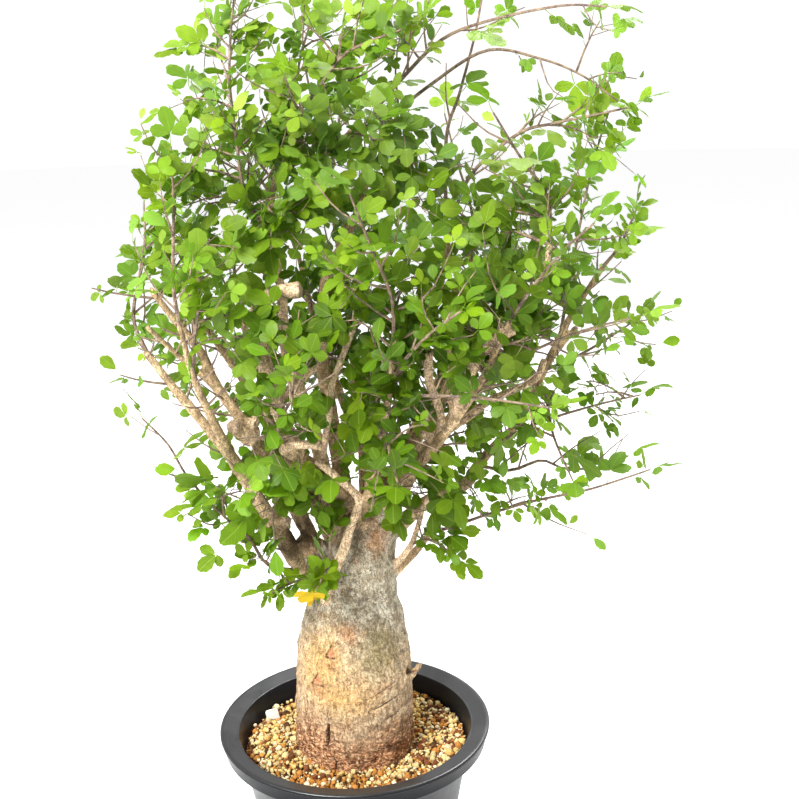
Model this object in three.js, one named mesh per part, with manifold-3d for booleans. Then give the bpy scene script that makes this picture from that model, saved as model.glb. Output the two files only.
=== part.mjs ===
// A potted commiphora humbertii: a swollen trunk with pruned limbs and sprays of three-part leaves, in
// a round black nursery pot filled with a granular mix. Millimetres, +Z up, -Y towards the viewer. The
// origin is the centre of the pot's flat base.
import * as THREE from "three";
import { mergeVertices } from "three/addons/utils/BufferGeometryUtils.js";
import Module from "manifold-3d";

const wasm = await Module();
wasm.setup();

// Driving dimensions

const GAP = 0.35; // clearance between pieces that touch

const POT_HEIGHT = 215;
const RIM_RADIUS = 135; // outer edge of the rolled rim
const RING_INNER_RADIUS = 116.6; // where the sloping ring meets the mouth
const RING_DROP = 4.6; // the ring falls this far towards the mouth
const SKIRT_DEPTH = 18;
const BASE_RADIUS = 79;
const WALL = 2.4;
const FLOOR = 3.4;
const POT_SIDES = 36;
const DRAIN_HOLES = 4;
const DRAIN_RADIUS = 7;
const DRAIN_CIRCLE = 46;

const SOIL_HEIGHT = 187;
const SOIL_SIDES = 36;
const SOIL_RELIEF = 1.6; // how far grains stand up or lie low
const SOIL_SLOPE = 0.012; // a little higher at the back and the left

const LABEL = { width: 13, height: 52, thickness: 0.9 };
const LABEL_FOOT = [-80, 50, 149];
const LABEL_LEAN = -0.2;
const LABEL_TURN = 0.2;

const TRUNK_SIDES = 18;
const TRUNK_GIRTH = 57; // radius where it is thickest
const TRUNK_LOBES = 0.7;
const TRUNK_RELIEF = 1.5;
const LIMB_TAPER = 0.7; // under 1, a limb narrows most near its root

const CROWN_CENTRE = [50, 0, 655];
const CROWN_RADII = [232, 222, 268];
const CROWN_TARGETS = 42; // points spread evenly over the crown that sprays reach for
const CROWN_OPEN = 0.16; // share of the crown, round the trunk, that has no target
const SPRAY_LENGTH = 150; // what a spray that reaches for a target would like to be
const TURN_COST = 90; // millimetres that a spray would rather grow than turn square off its limb
const TIP_WORTH = 45; // millimetres that a spray would grow to start at a limb's tip
const SET_OFF = 0.14; // share of its length in which a spray leaves along the limb
const ARCH_PLACE = 0.6; // share of its length where it arches highest
const ARCH_RISE = 0.07; // how far it rises there, as a share of its length
const SPRAY_APART = 104; // a target this near to a spray's tip is already reached
const ROOTS_APART = 14; // two sprays leave a limb no nearer than this

const TWIG_SIDES = 4;
const TWIG_ROOT = 2.1;
const TWIG_TIP = 0.9;

const LEAF_THICKNESS = 0.8;
const LEAF_SPACING = 84;
const LEAFY_SHARE = 0.72; // share of a twig, from its tip, that carries leaves
const LEAF_SMALLEST = 0.85;
const LEAF_RANGE = 0.35;
const LEAN_OFF = 0.7; // how far a leaf leans along its twig
const LEAN_TIP = 3; // the same for the leaf at the tip, which nearly continues it
const LEAF_LIFT = 0.15;
const LEAF_ARCH = 70; // the blade falls by the square of the distance from its rib over this
const LEAF_DROOP = 130; // and by the square of the distance beyond its stalk over this
const LEAF_TURNS = 12; // places round the twig that a leaf may try
const LEAFLET_REACH = 10.5; // room kept round the middle of a leaflet

const BLACK_PLASTIC = new THREE.MeshStandardMaterial({ color: 0x16171a, roughness: 0.32, metalness: 0 });
const PUMICE_MIX = new THREE.MeshStandardMaterial({ color: 0xb99a63, roughness: 0.95, metalness: 0 });
const BARK = new THREE.MeshStandardMaterial({ color: 0xa58a6c, roughness: 0.9, metalness: 0 });
const WHITE_PLASTIC = new THREE.MeshStandardMaterial({ color: 0xf2f1ec, roughness: 0.5, metalness: 0 });
const LEAF_GREEN = new THREE.MeshStandardMaterial({ color: 0x4e9a1f, roughness: 0.5, metalness: 0 });

// The trunk's rings, from its buried foot to the fork: height, centre x, centre y, radius

const TRUNK = [
  [104, 0, 0, 18],
  [110, 0, 0, 36],
  [128, 0, -1, 50],
  [158, -1, -2, 56],
  [190, -1, -2, 57.5],
  [235, 1, -2, 57.5],
  [280, 2, -1, 56.5],
  [302, 2, 0, 53.5],
  [324, 3, 0, 49],
  [346, 4, 0, 44.5],
  [364, 7, 0, 40],
  [388, 13, 0, 34],
  [408, 20, 0, 27],
  [428, 29, 0, 22],
  [448, 37, 0, 18],
  [462, 42, 2, 12],
];

// Limbs that carry leaves, each with its radius at the root and the tip, and the points it grows through

const LIMBS = [
  // The left shoulder, where the trunk parts
  { root: 36, tip: 11, route: [[2, 0, 325], [-12, -4, 362], [-28, -8, 392], [-42, -12, 416]] },
  // The big left limb
  {
    root: 12,
    tip: 3.4,
    route: [
      [-12, -5, 350], [-45, -15, 390], [-65, -20, 430], [-75, -25, 450], [-100, -30, 500],
      [-120, -40, 535],
      [-145, -50, 575], [-168, -55, 612],
    ],
  },
  // The limb inside it, with the knob half way up
  {
    root: 9,
    tip: 3,
    route: [
      [-20, -5, 375], [-45, -10, 440], [-72, -22, 500], [-86, -35, 535], [-110, -40, 575],
      [-122, -42, 608],
      [-142, -50, 640], [-158, -60, 668],
    ],
  },
  {
    root: 3.8,
    tip: 2.4,
    route: [
      [-108, -40, 572], [-126, -48, 592], [-142, -64, 614], [-158, -86, 640],
    ],
  },
  // The limb behind those two
  {
    root: 9,
    tip: 2.8,
    route: [
      [-8, 20, 375], [-32, 25, 440], [-56, 22, 488], [-82, 14, 548], [-114, 6, 605], [-140, 0, 648],
    ],
  },
  // The reddish limb that leans left across the fork
  {
    root: 13,
    tip: 6.5,
    route: [
      [32, -5, 418], [14, -15, 446], [-8, -25, 470], [-26, -36, 492], [-42, -52, 515],
    ],
  },
  // The pale limb up the middle, which carries the left part of the top
  {
    root: 9,
    tip: 2.2,
    route: [
      [-6, 2, 395], [-24, 2, 500], [-40, 0, 562], [-50, 0, 600], [-51, 0, 655], [-60, 0, 708],
      [-54, 0, 742],
      [-42, 0, 782], [-30, 0, 812],
    ],
  },
  {
    root: 2.6,
    tip: 2.1,
    route: [
      [-59, 0, 712], [-40, -6, 736], [-18, -16, 758], [6, -26, 782], [24, -34, 800],
    ],
  },
  // The brown leader
  {
    root: 10,
    tip: 2.3,
    route: [
      [8, 12, 385], [-3, 20, 460], [-14, 26, 540], [-19, 28, 592], [-12, 28, 655], [6, 28, 690],
      [24, 27, 728],
      [34, 26, 768], [40, 25, 812],
    ],
  },
  // The thick grey-brown limb and the brown one beside it
  {
    root: 13,
    tip: 2.8,
    route: [
      [36, 2, 430], [46, 10, 460], [58, 16, 490], [80, 26, 514], [104, 36, 552], [126, 46, 592],
      [146, 58, 640],
    ],
  },
  {
    root: 9,
    tip: 2.6,
    route: [
      [32, 14, 420], [27, 28, 508], [34, 42, 546], [56, 52, 566], [82, 64, 600], [100, 76, 650],
      [108, 84, 700],
    ],
  },
  {
    root: 8,
    tip: 2.6,
    route: [
      [36, 10, 440], [20, 24, 495], [4, 36, 525], [-14, 52, 570], [-30, 68, 625], [-40, 80, 672],
    ],
  },
  // The right limb, with the bare fork near its end
  {
    root: 8,
    tip: 2.8,
    route: [
      [30, 8, 400], [80, 16, 440], [116, 22, 454], [128, 28, 470], [150, 38, 490], [170, 46, 508],
      [194, 50, 555],
      [214, 46, 600], [232, 42, 632], [250, 40, 660],
    ],
  },
  // Limbs at the back, which the view hides
  {
    root: 12,
    tip: 2.8,
    route: [
      [0, 12, 378], [-30, 46, 440], [-66, 84, 505], [-96, 118, 572], [-112, 140, 635],
    ],
  },
  {
    root: 12,
    tip: 2.8,
    route: [
      [32, 12, 425], [62, 52, 485], [98, 92, 545], [124, 122, 612], [134, 138, 670],
    ],
  },
  {
    root: 11,
    tip: 2.8,
    route: [
      [22, 14, 420], [18, 56, 490], [10, 104, 560], [2, 132, 635], [-8, 146, 700],
    ],
  },
  // Limbs that lean towards the viewer
  { root: 6, tip: 2.6, route: [[-96, -29, 492], [-108, -62, 540], [-118, -102, 596], [-122, -132, 650]] },
  { root: 6.5, tip: 2.6, route: [[58, -24, 476], [92, -70, 532], [124, -104, 590], [146, -126, 645]] },
  { root: 7, tip: 2.4, route: [[20, -14, 430], [28, -60, 500], [44, -104, 572], [52, -134, 640]] },
  // The pale stem that rises at the right
  {
    root: 5,
    tip: 2.6,
    route: [
      [108, 36, 558], [142, -30, 590], [165, -62, 618], [178, -76, 662], [184, -84, 708],
    ],
  },
];

// Pruned stubs and short bare branches

const STUBS = [
  // The tan stub from the left knob, the splintered one under it and the slim one beside them
  { root: 4.6, tip: 4, route: [[-86, -35, 534], [-60, -46, 556], [-36, -60, 580], [-14, -70, 601]] },
  { root: 5.5, tip: 4, route: [[-38, -46, 508], [-50, -62, 520], [-36, -70, 527], [-15, -76, 527]] },
  {
    root: 4,
    tip: 3,
    route: [
      [-22, -34, 486], [-10, -60, 545], [-5, -70, 578], [5, -80, 605], [18, -94, 636],
    ],
  },
  // The thick stub that comes forward and turns flat at its cut
  {
    root: 7,
    tip: 7,
    route: [
      [-40, -50, 512], [-54, -68, 565], [-62, -86, 615], [-62, -98, 652], [-48, -106, 668],
      [-24, -110, 672],
    ],
  },
  // The pale flattened limb down the front of the trunk
  {
    root: 6.5,
    tip: 3.6,
    route: [
      [-26, -36, 362], [-14, -40, 390], [-2, -41, 414], [6, -41, 440], [14, -38, 462],
      [-4, -46, 486], [-22, -55, 506],
    ],
  },
  // The pale right limb, its cut upper arm and its lower arm
  {
    root: 10,
    tip: 5.4,
    route: [
      [38, -8, 440], [64, -28, 488], [84, -38, 515], [96, -40, 530], [106, -46, 548],
      [124, -58, 578],
    ],
  },
  {
    root: 4.4,
    tip: 3.4,
    route: [
      [94, -40, 526], [116, -45, 541], [132, -50, 555], [152, -56, 566], [174, -60, 578],
      [182, -61, 596],
    ],
  },
  {
    root: 3.6,
    tip: 4.4,
    route: [
      [82, -36, 510], [91, -50, 538], [86, -60, 562], [80, -72, 582], [80, -94, 614],
    ],
  },
  // Short ones at the right of the trunk
  {
    root: 3.6,
    tip: 2.6,
    route: [
      [42, -10, 380], [60, -16, 405], [68, -22, 428], [74, -26, 450], [82, -30, 464],
    ],
  },
  { root: 5, tip: 3.6, route: [[34, 0, 362], [58, 4, 384], [70, 8, 396], [82, 6, 412]] },
  { root: 3.4, tip: 3, route: [[196, 50, 560], [208, 48, 578], [226, 44, 602]] },
  // The knob at the left fork, the elbow under it, and two nubs on the pale right limb
  { root: 9, tip: 6.5, route: [[-82, -32, 524], [-92, -42, 534], [-97, -50, 540]] },
  { root: 7, tip: 5.5, route: [[-64, -20, 428], [-58, -32, 440], [-54, -40, 444]] },
  { root: 4.5, tip: 3.2, route: [[84, -38, 515], [77, -44, 524], [72, -47, 528]] },
  { root: 4.5, tip: 3.4, route: [[104, -44, 544], [101, -52, 556], [99, -55, 561]] },
  // The stub with a rough end in the middle of the right side
  { root: 5, tip: 5.5, route: [[100, -76, 546], [112, -100, 590], [128, -112, 622], [150, -118, 636]] },
];

// Sprays that the view shows one by one, each with the points its stem passes through

const SHOWN_SPRAYS = [
  // The hanging branch at the left and the two tufts of young leaves under the fork
  [
    [-50, -18, 385], [-75, -32, 398], [-90, -42, 430], [-115, -54, 462], [-138, -66, 500],
    [-150, -76, 532], [-168, -88, 560],
  ],
  [[-16, -14, 372], [-44, -44, 386], [-68, -70, 386]],
  [[-12, -30, 380], [-18, -64, 400], [-26, -84, 394]],
  // The long low branch at the right and the tuft under it
  [
    [80, 7, 410], [98, 2, 416], [132, -4, 430], [180, -8, 445], [226, -12, 455], [264, -16, 468],
    [286, -20, 477],
  ],
  [[62, -16, 408], [80, -38, 420], [102, -46, 406]],
  // Twigs that reach out to the right
  [[128, 28, 470], [160, 22, 466], [190, 26, 474], [214, 28, 464], [252, 30, 464], [276, 32, 474]],
  [[150, 38, 490], [186, 16, 515], [240, 6, 534], [278, -4, 545]],
  [[196, 50, 558], [226, 32, 576], [258, 22, 598], [280, 16, 615]],
  [[250, 40, 660], [266, 42, 680], [280, 42, 712]],
  [[210, 46, 592], [224, 66, 655], [240, 68, 740], [256, 66, 800]],
  // Twigs along the top
  [[40, 25, 810], [66, 4, 838], [100, -6, 868], [140, -10, 882], [200, -18, 892], [238, -24, 890]],
  [[104, 80, 690], [104, 50, 780], [116, 42, 820], [130, 40, 868], [138, 40, 905]],
  [[36, 26, 790], [90, 30, 830], [140, 25, 858], [186, 18, 850], [222, 12, 835], [254, 8, 812]],
  [[108, 84, 698], [126, 30, 750], [165, 0, 786], [196, -12, 795], [232, -22, 802], [262, -30, 808]],
  [[-58, 0, 700], [-72, -50, 745], [-76, -60, 795], [-78, -62, 840], [-74, -62, 880], [-70, -60, 905]],
  [[-30, 0, 808], [-8, -22, 830], [14, -28, 856], [40, -34, 868], [66, -38, 876]],
];

// Vectors and draws

const GOLDEN_ANGLE = Math.PI * (3 - Math.sqrt(5));
const UP = new THREE.Vector3(0, 0, 1);

const vector = (point) => new THREE.Vector3(...point);

const curveThrough = (route) => new THREE.CatmullRomCurve3(route.map(vector), false, "catmullrom", 0.5);

// A seeded draw between 0 and 1, the same on every run.
function drawsFrom(seed) {
  let state = seed;
  return () => {
    state = (state * 48271) % 2147483647;
    return state / 2147483647;
  };
}

// A direction at a right angle to the tangent, turned by an angle about it from the level one.
function sideways(tangent, angle) {
  const level = new THREE.Vector3().crossVectors(tangent, UP).normalize();
  const rising = new THREE.Vector3().crossVectors(level, tangent);
  return level.multiplyScalar(Math.cos(angle)).addScaledVector(rising, Math.sin(angle));
}

// Solids

// A closed geometry as a solid that can be joined and cut.
function solidOf(geometry) {
  const bare = geometry.clone();
  bare.deleteAttribute("normal");
  bare.deleteAttribute("uv");
  const merged = mergeVertices(bare, 1e-4);
  return new wasm.Manifold(
    new wasm.Mesh({
      numProp: 3,
      vertProperties: merged.attributes.position.array,
      triVerts: new Uint32Array(merged.index.array),
    }),
  );
}

const fuse = (solids) => solids.reduce((whole, solid) => whole.add(solid));

const largest = (solid) => solid.decompose().reduce((a, b) => (b.volume() > a.volume() ? b : a));

function meshOf(name, solid, material) {
  const { vertProperties, triVerts } = solid.getMesh();
  const geometry = new THREE.BufferGeometry();
  geometry.setAttribute("position", new THREE.BufferAttribute(new Float32Array(vertProperties), 3));
  geometry.setIndex(new THREE.BufferAttribute(new Uint32Array(triVerts), 1));
  geometry.computeVertexNormals();
  const mesh = new THREE.Mesh(geometry, material);
  mesh.name = name;
  return mesh;
}

// Moves every vertex of a geometry by a rule that takes and returns a vector.
function reshape(geometry, rule) {
  const places = geometry.attributes.position;
  const place = new THREE.Vector3();
  for (let i = 0; i < places.count; i++) {
    const moved = rule(place.fromBufferAttribute(places, i));
    places.setXYZ(i, moved.x, moved.y, moved.z);
  }
  return geometry;
}

// A turned solid: the profile lists radius and height, from the axis round to the axis.
function turned(profile, sides) {
  const points = profile.map(([radius, height]) => new THREE.Vector2(radius, height));
  return new THREE.LatheGeometry(points, sides).rotateX(Math.PI / 2);
}

// A stem of round section along a curve. radiusAt takes the place along the curve, from 0 to 1, and the
// angle round it. grow makes the stem this much thicker, and longer at both ends.
function stem(curve, sides, steps, radiusAt, grow = 0) {
  const { normals, binormals } = curve.computeFrenetFrames(steps);
  return reshape(new THREE.CylinderGeometry(1, 1, 1, sides, steps), ({ x, y, z }) => {
    const along = y + 0.5;
    const step = Math.round(along * steps);
    const angle = Math.atan2(z, x);
    const radius = Math.hypot(x, z) * (radiusAt(along, angle) + grow);
    const end = step === 0 ? -grow : step === steps ? grow : 0;
    return curve
      .getPoint(step / steps)
      .addScaledVector(curve.getTangent(step / steps), end)
      .addScaledVector(normals[step], Math.cos(angle) * radius)
      .addScaledVector(binormals[step], -Math.sin(angle) * radius);
  });
}

// Pot

// The wall's radius on the inside at a height, between the floor and the ring.
function insideRadius(height) {
  const share = (height - FLOOR) / (POT_HEIGHT - RING_DROP - FLOOR);
  return THREE.MathUtils.lerp(BASE_RADIUS - WALL, RING_INNER_RADIUS - 1, share);
}

function pot() {
  const ringInner = POT_HEIGHT - RING_DROP;
  const skirtFoot = POT_HEIGHT - SKIRT_DEPTH;
  const body = solidOf(
    turned(
      [
        [0, 0],
        [BASE_RADIUS - 2.5, 0],
        [BASE_RADIUS, 3],
        [insideRadius(ringInner - 3) + WALL, ringInner - 3],
        [RIM_RADIUS - 3.6, POT_HEIGHT - 3.4],
        [RIM_RADIUS - 6.6, skirtFoot],
        [RIM_RADIUS - 4, skirtFoot],
        [RIM_RADIUS - 0.4, POT_HEIGHT - 4],
        [RIM_RADIUS, POT_HEIGHT - 1.8],
        [RIM_RADIUS - 3.4, POT_HEIGHT],
        [RING_INNER_RADIUS, ringInner],
        [insideRadius(FLOOR), FLOOR],
        [0, FLOOR],
      ],
      POT_SIDES,
    ),
  );
  const holes = Array.from({ length: DRAIN_HOLES }, (_, i) => {
    const angle = (i * 2 * Math.PI) / DRAIN_HOLES;
    const hole = new THREE.CylinderGeometry(DRAIN_RADIUS, DRAIN_RADIUS, 4 * FLOOR, 8).rotateX(Math.PI / 2);
    return solidOf(hole.translate(DRAIN_CIRCLE * Math.cos(angle), DRAIN_CIRCLE * Math.sin(angle), FLOOR));
  });
  return body.subtract(fuse(holes));
}

// Trunk, limbs and stubs, grown as one piece of wood

const trunkCurve = new THREE.CatmullRomCurve3(
  TRUNK.map(([z, x, y]) => new THREE.Vector3(x, y, z)),
  false,
  "catmullrom",
  0.5,
);

// The trunk's radius, with shallow lobes, the swelling on its right and the bumps of old bark.
function trunkRadius(along, angle) {
  const place = along * (TRUNK.length - 1);
  const below = Math.min(Math.floor(place), TRUNK.length - 2);
  const radius = THREE.MathUtils.lerp(TRUNK[below][3], TRUNK[below + 1][3], place - below);
  const lobes = 1.5 * Math.cos(2 * angle + 0.6) + Math.cos(3 * angle + 4 * along);
  const bumps = Math.sin(9 * angle + 13 * along) * Math.cos(31 * along + 2 * angle);
  return radius + (radius / TRUNK_GIRTH) * (TRUNK_LOBES * lobes + TRUNK_RELIEF * bumps);
}

const WOOD = [...LIMBS, ...STUBS].map((limb) => ({ ...limb, curve: curveThrough(limb.route) }));

const limbRadius =
  ({ root, tip }) =>
  (along) =>
    THREE.MathUtils.lerp(root, tip, Math.pow(along, LIMB_TAPER));

function wood(grow = 0) {
  const trunk = solidOf(stem(trunkCurve, TRUNK_SIDES, TRUNK.length - 1, trunkRadius, grow));
  const limbs = WOOD.map((limb) => {
    const sides = limb.root > 7.5 ? 7 : 5;
    return solidOf(stem(limb.curve, sides, limb.route.length - 1, limbRadius(limb), grow));
  });
  return fuse([trunk, ...limbs]);
}

// Substrate: the granular mix, with its grains as relief and a plain hole for the trunk and the label

function soilRelief(x, y) {
  const across = Math.sin(x * 1.31 + 2.1 * Math.sin(y * 0.23));
  const away = Math.sin(y * 1.17 + 1.7 * Math.sin(x * 0.19));
  return across * away * SOIL_RELIEF + (y - x) * SOIL_SLOPE;
}

function substrate(woodRoom, labelRoom) {
  const edge = insideRadius(SOIL_HEIGHT) - GAP;
  const foot = insideRadius(FLOOR) - GAP;
  const rings = [0.95, 0.85, 0.75, 0.65, 0.55].map((share) => [edge * share, SOIL_HEIGHT]);
  const profile = [[0, FLOOR + GAP], [foot, FLOOR + GAP], [edge, SOIL_HEIGHT], ...rings, [0, SOIL_HEIGHT]];
  const body = reshape(turned(profile, SOIL_SIDES), (place) => {
    const radius = Math.hypot(place.x, place.y);
    if (place.z > SOIL_HEIGHT - 1 && radius < edge * 0.99) {
      place.z += soilRelief(place.x, place.y);
    }
    return place;
  });
  return solidOf(body).subtract(woodRoom).subtract(labelRoom);
}

// Plant label: a blank plastic stake in the substrate

function plantLabel(grow = 0) {
  const { width, height, thickness } = LABEL;
  const plate = new THREE.BoxGeometry(width + 2 * grow, thickness + 2 * grow, height + 2 * grow);
  plate.translate(0, 0, height / 2).rotateY(LABEL_LEAN).rotateZ(LABEL_TURN);
  return solidOf(plate.translate(...LABEL_FOOT));
}

// Sprays

// One side of a leaf of three leaflets: across and along, from the foot of its stalk to its tip.
const STALK = 13;
const HALF_LEAF = [
  [0.65, 0],
  [0.7, STALK],
  [9, STALK - 1.8],
  [16.4, STALK + 3.4],
  [15.4, STALK + 11.2],
  [2.6, STALK + 4.5],
  [7.6, STALK + 11],
  [9.4, STALK + 18],
  [5.6, STALK + 25.5],
];
const LEAF_TIP = [0, STALK + 24];

// The middles of the three leaflets: across and along.
const LEAFLET_MIDDLES = [
  [0, STALK + 16],
  [10.5, STALK + 5],
  [-10.5, STALK + 5],
];

const leafOutline = new THREE.Shape(
  [...HALF_LEAF, LEAF_TIP, ...HALF_LEAF.map(([across, along]) => [-across, along]).reverse()].map(
    ([across, along]) => new THREE.Vector2(across, along),
  ),
);

// A leaf at its place: the blade arches across and droops towards its tip.
function leafSolid(leaf) {
  const blade = new THREE.ExtrudeGeometry(leafOutline, { depth: LEAF_THICKNESS, bevelEnabled: false });
  reshape(blade, ({ x, y, z }) => {
    const beyond = Math.max(0, y - STALK);
    const arch = -(x * x) / LEAF_ARCH - (beyond * beyond) / LEAF_DROOP;
    return leaf.foot
      .clone()
      .addScaledVector(leaf.side, x * leaf.size)
      .addScaledVector(leaf.along, y * leaf.size)
      .addScaledVector(leaf.face, arch * leaf.size + z - LEAF_THICKNESS / 2);
  });
  return solidOf(blade);
}

// Room that is taken: spheres along the wood and the twigs, and one for each leaflet.
const taken = [];

function takeStem(owner, curve, radiusAt, every) {
  const count = Math.ceil(curve.getLength() / every);
  for (let i = 0; i <= count; i++) {
    taken.push({ owner, middle: curve.getPoint(i / count), reach: radiusAt(i / count) + 1 });
  }
}

const leafletMiddles = (leaf) =>
  LEAFLET_MIDDLES.map(([across, along]) =>
    leaf.foot
      .clone()
      .addScaledVector(leaf.side, across * leaf.size)
      .addScaledVector(leaf.along, along * leaf.size),
  );

function isClear(leaf, owner) {
  const reach = LEAFLET_REACH * leaf.size;
  return leafletMiddles(leaf).every((middle) =>
    taken.every((other) => other.owner === owner || middle.distanceTo(other.middle) > other.reach + reach),
  );
}

// A leaf that stands off the twig at a place along it, turned by an angle about it.
function leafAt(curve, along, angle, lean, size) {
  const tangent = curve.getTangent(along);
  const out = sideways(tangent, angle);
  const direction = tangent.multiplyScalar(lean).add(out).addScaledVector(UP, LEAF_LIFT).normalize();
  const side = new THREE.Vector3().crossVectors(direction, UP).normalize();
  const face = new THREE.Vector3().crossVectors(side, direction);
  return { foot: curve.getPoint(along), along: direction, side, face, size };
}

// The places on the limbs that a spray may grow from. The left shoulder, the first limb, has none.
const PERCH_TIP = 0.985;
const PERCHES = [0.5, 0.6, 0.7, 0.8, 0.9, PERCH_TIP];
const perches = WOOD.slice(1, LIMBS.length).flatMap(({ curve }) =>
  PERCHES.map((along) => ({
    place: curve.getPoint(along),
    tangent: curve.getTangent(along),
    tip: along === PERCH_TIP,
  })),
);

// The route of a spray from the best free perch to a target: it sets off along the limb and arches over.
function reachingSpray(target, roots) {
  const free = perches.filter(({ place }) => roots.every((root) => root.distanceTo(place) > ROOTS_APART));
  const scored = free.map((perch) => {
    const way = target.clone().sub(perch.place);
    const turn = 1 - way.clone().normalize().dot(perch.tangent);
    const worth = perch.tip ? TIP_WORTH : 0;
    return { perch, way, score: Math.abs(way.length() - SPRAY_LENGTH) + TURN_COST * turn - worth };
  });
  const { perch, way } = scored.reduce((a, b) => (b.score < a.score ? b : a));
  roots.push(perch.place);
  const length = way.length();
  const first = perch.place
    .clone()
    .addScaledVector(perch.tangent, length * SET_OFF)
    .addScaledVector(way, SET_OFF);
  const middle = perch.place
    .clone()
    .addScaledVector(way, ARCH_PLACE)
    .addScaledVector(UP, length * ARCH_RISE);
  return [perch.place, first, middle, target].map((point) => point.toArray());
}

// Points spread evenly over the crown, leaving it open round the trunk.
function crownTargets() {
  return Array.from({ length: CROWN_TARGETS }, (_, i) => {
    const height = 1 - ((i + 0.5) / CROWN_TARGETS) * 2 * (1 - CROWN_OPEN);
    const spread = Math.sqrt(1 - height * height);
    const way = [spread * Math.cos(i * GOLDEN_ANGLE), spread * Math.sin(i * GOLDEN_ANGLE), height];
    return new THREE.Vector3(...way.map((share, axis) => CROWN_CENTRE[axis] + share * CROWN_RADII[axis]));
  });
}

// All routes: the sprays that the view shows, then one for each target that none of them reaches.
function sprayRoutes() {
  const tips = SHOWN_SPRAYS.map((route) => vector(route[route.length - 1]));
  const open = crownTargets().filter((target) => tips.every((tip) => tip.distanceTo(target) > SPRAY_APART));
  const roots = SHOWN_SPRAYS.map((route) => vector(route[0]));
  return [...SHOWN_SPRAYS, ...open.map((target) => reachingSpray(target, roots))];
}

const twigRadius = (along) => THREE.MathUtils.lerp(TWIG_ROOT, TWIG_TIP, along);

// The leaves of a spray: even along the twig, each turned from the last one and then on until it is clear.
function leavesOf(owner, curve, seed) {
  const draw = drawsFrom(seed);
  const count = Math.max(2, Math.round((curve.getLength() * LEAFY_SHARE) / LEAF_SPACING) + 1);
  const leaves = [];
  for (let i = 0; i < count; i++) {
    const along = 0.99 - (i / count) * LEAFY_SHARE;
    const size = LEAF_SMALLEST + LEAF_RANGE * draw();
    const lean = i === 0 ? LEAN_TIP : LEAN_OFF;
    const start = i * GOLDEN_ANGLE + draw() * 2;
    for (let turn = 0; turn < LEAF_TURNS; turn++) {
      const leaf = leafAt(curve, along, start + (turn * 2 * Math.PI) / LEAF_TURNS, lean, size);
      if (isClear(leaf, owner)) {
        leaves.push(leaf);
        break;
      }
    }
  }
  leaves.forEach((leaf) =>
    leafletMiddles(leaf).forEach((middle) =>
      taken.push({ owner, middle, reach: LEAFLET_REACH * leaf.size }),
    ),
  );
  return leaves;
}

function sprays(woodRoom) {
  const twigs = sprayRoutes().map((route, index) => ({
    name: `leafy_spray_${String(index + 1).padStart(2, "0")}`,
    curve: curveThrough(route),
    steps: Math.max(4, route.length - 1),
    seed: 101 + 37 * index,
  }));
  WOOD.forEach((limb) => takeStem("wood", limb.curve, limbRadius(limb), 6));
  takeStem("wood", trunkCurve, (along) => trunkRadius(along, 0), 6);
  twigs.forEach((twig) => takeStem(twig.name, twig.curve, twigRadius, 7));
  return twigs.map((twig) => {
    const leaves = leavesOf(twig.name, twig.curve, twig.seed).map(leafSolid);
    const stalk = solidOf(stem(twig.curve, TWIG_SIDES, twig.steps, twigRadius));
    return meshOf(twig.name, largest(fuse([stalk, ...leaves]).subtract(woodRoom)), LEAF_GREEN);
  });
}

// Assembly

const woodRoom = wood(GAP);
const tree = new THREE.Group();
tree.add(
  meshOf("pot", pot(), BLACK_PLASTIC),
  meshOf("substrate", substrate(woodRoom, plantLabel(GAP)), PUMICE_MIX),
  meshOf("trunk_and_branches", wood(), BARK),
  meshOf("plant_label", plantLabel(), WHITE_PLASTIC),
  ...sprays(woodRoom),
);

export default tree;
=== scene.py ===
"""Dresses the potted commiphora humbertii: pot, granular mix, label, bark, leafy sprays and a plain studio.

Sizes are those of the solids in the frame, in metres in the settings. Routes and stations below are in
millimetres, in the frame's axes: +Z up, -Y towards the viewer, the origin under the middle of the pot.
"""

import math
import random

import bpy
import numpy as np
from mathutils import Matrix, Vector, kdtree, noise


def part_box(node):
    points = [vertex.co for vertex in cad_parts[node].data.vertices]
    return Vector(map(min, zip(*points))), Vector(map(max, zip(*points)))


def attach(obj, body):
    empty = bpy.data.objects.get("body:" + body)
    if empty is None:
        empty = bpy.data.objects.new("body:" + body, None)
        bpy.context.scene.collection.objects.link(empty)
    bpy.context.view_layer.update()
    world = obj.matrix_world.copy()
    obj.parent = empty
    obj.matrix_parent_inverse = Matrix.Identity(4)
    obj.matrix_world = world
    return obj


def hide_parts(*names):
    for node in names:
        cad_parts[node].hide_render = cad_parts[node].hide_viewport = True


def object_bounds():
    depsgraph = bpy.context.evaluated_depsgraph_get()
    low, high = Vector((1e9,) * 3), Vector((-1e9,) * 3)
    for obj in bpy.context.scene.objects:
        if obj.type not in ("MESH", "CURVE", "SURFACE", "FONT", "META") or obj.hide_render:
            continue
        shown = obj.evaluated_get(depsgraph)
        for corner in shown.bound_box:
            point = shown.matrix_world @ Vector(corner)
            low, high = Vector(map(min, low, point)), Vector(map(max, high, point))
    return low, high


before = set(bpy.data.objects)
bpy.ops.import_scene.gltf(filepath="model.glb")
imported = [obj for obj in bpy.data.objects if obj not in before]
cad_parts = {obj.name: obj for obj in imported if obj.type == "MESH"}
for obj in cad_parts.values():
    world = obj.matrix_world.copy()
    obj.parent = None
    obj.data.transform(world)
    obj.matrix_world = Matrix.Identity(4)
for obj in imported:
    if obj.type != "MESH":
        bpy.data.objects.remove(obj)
CAD_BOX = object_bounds()

bl_info = {
    "name": "Potted Commiphora Humbertii",
    "version": (1, 0, 0),
    "blender": (4, 5, 0),
    "location": "3D View > Sidebar > Commiphora",
    "description": "Dresses the potted commiphora humbertii with bark, leafy sprays, granular mix and a pot",
    "category": "Object",
}

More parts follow.
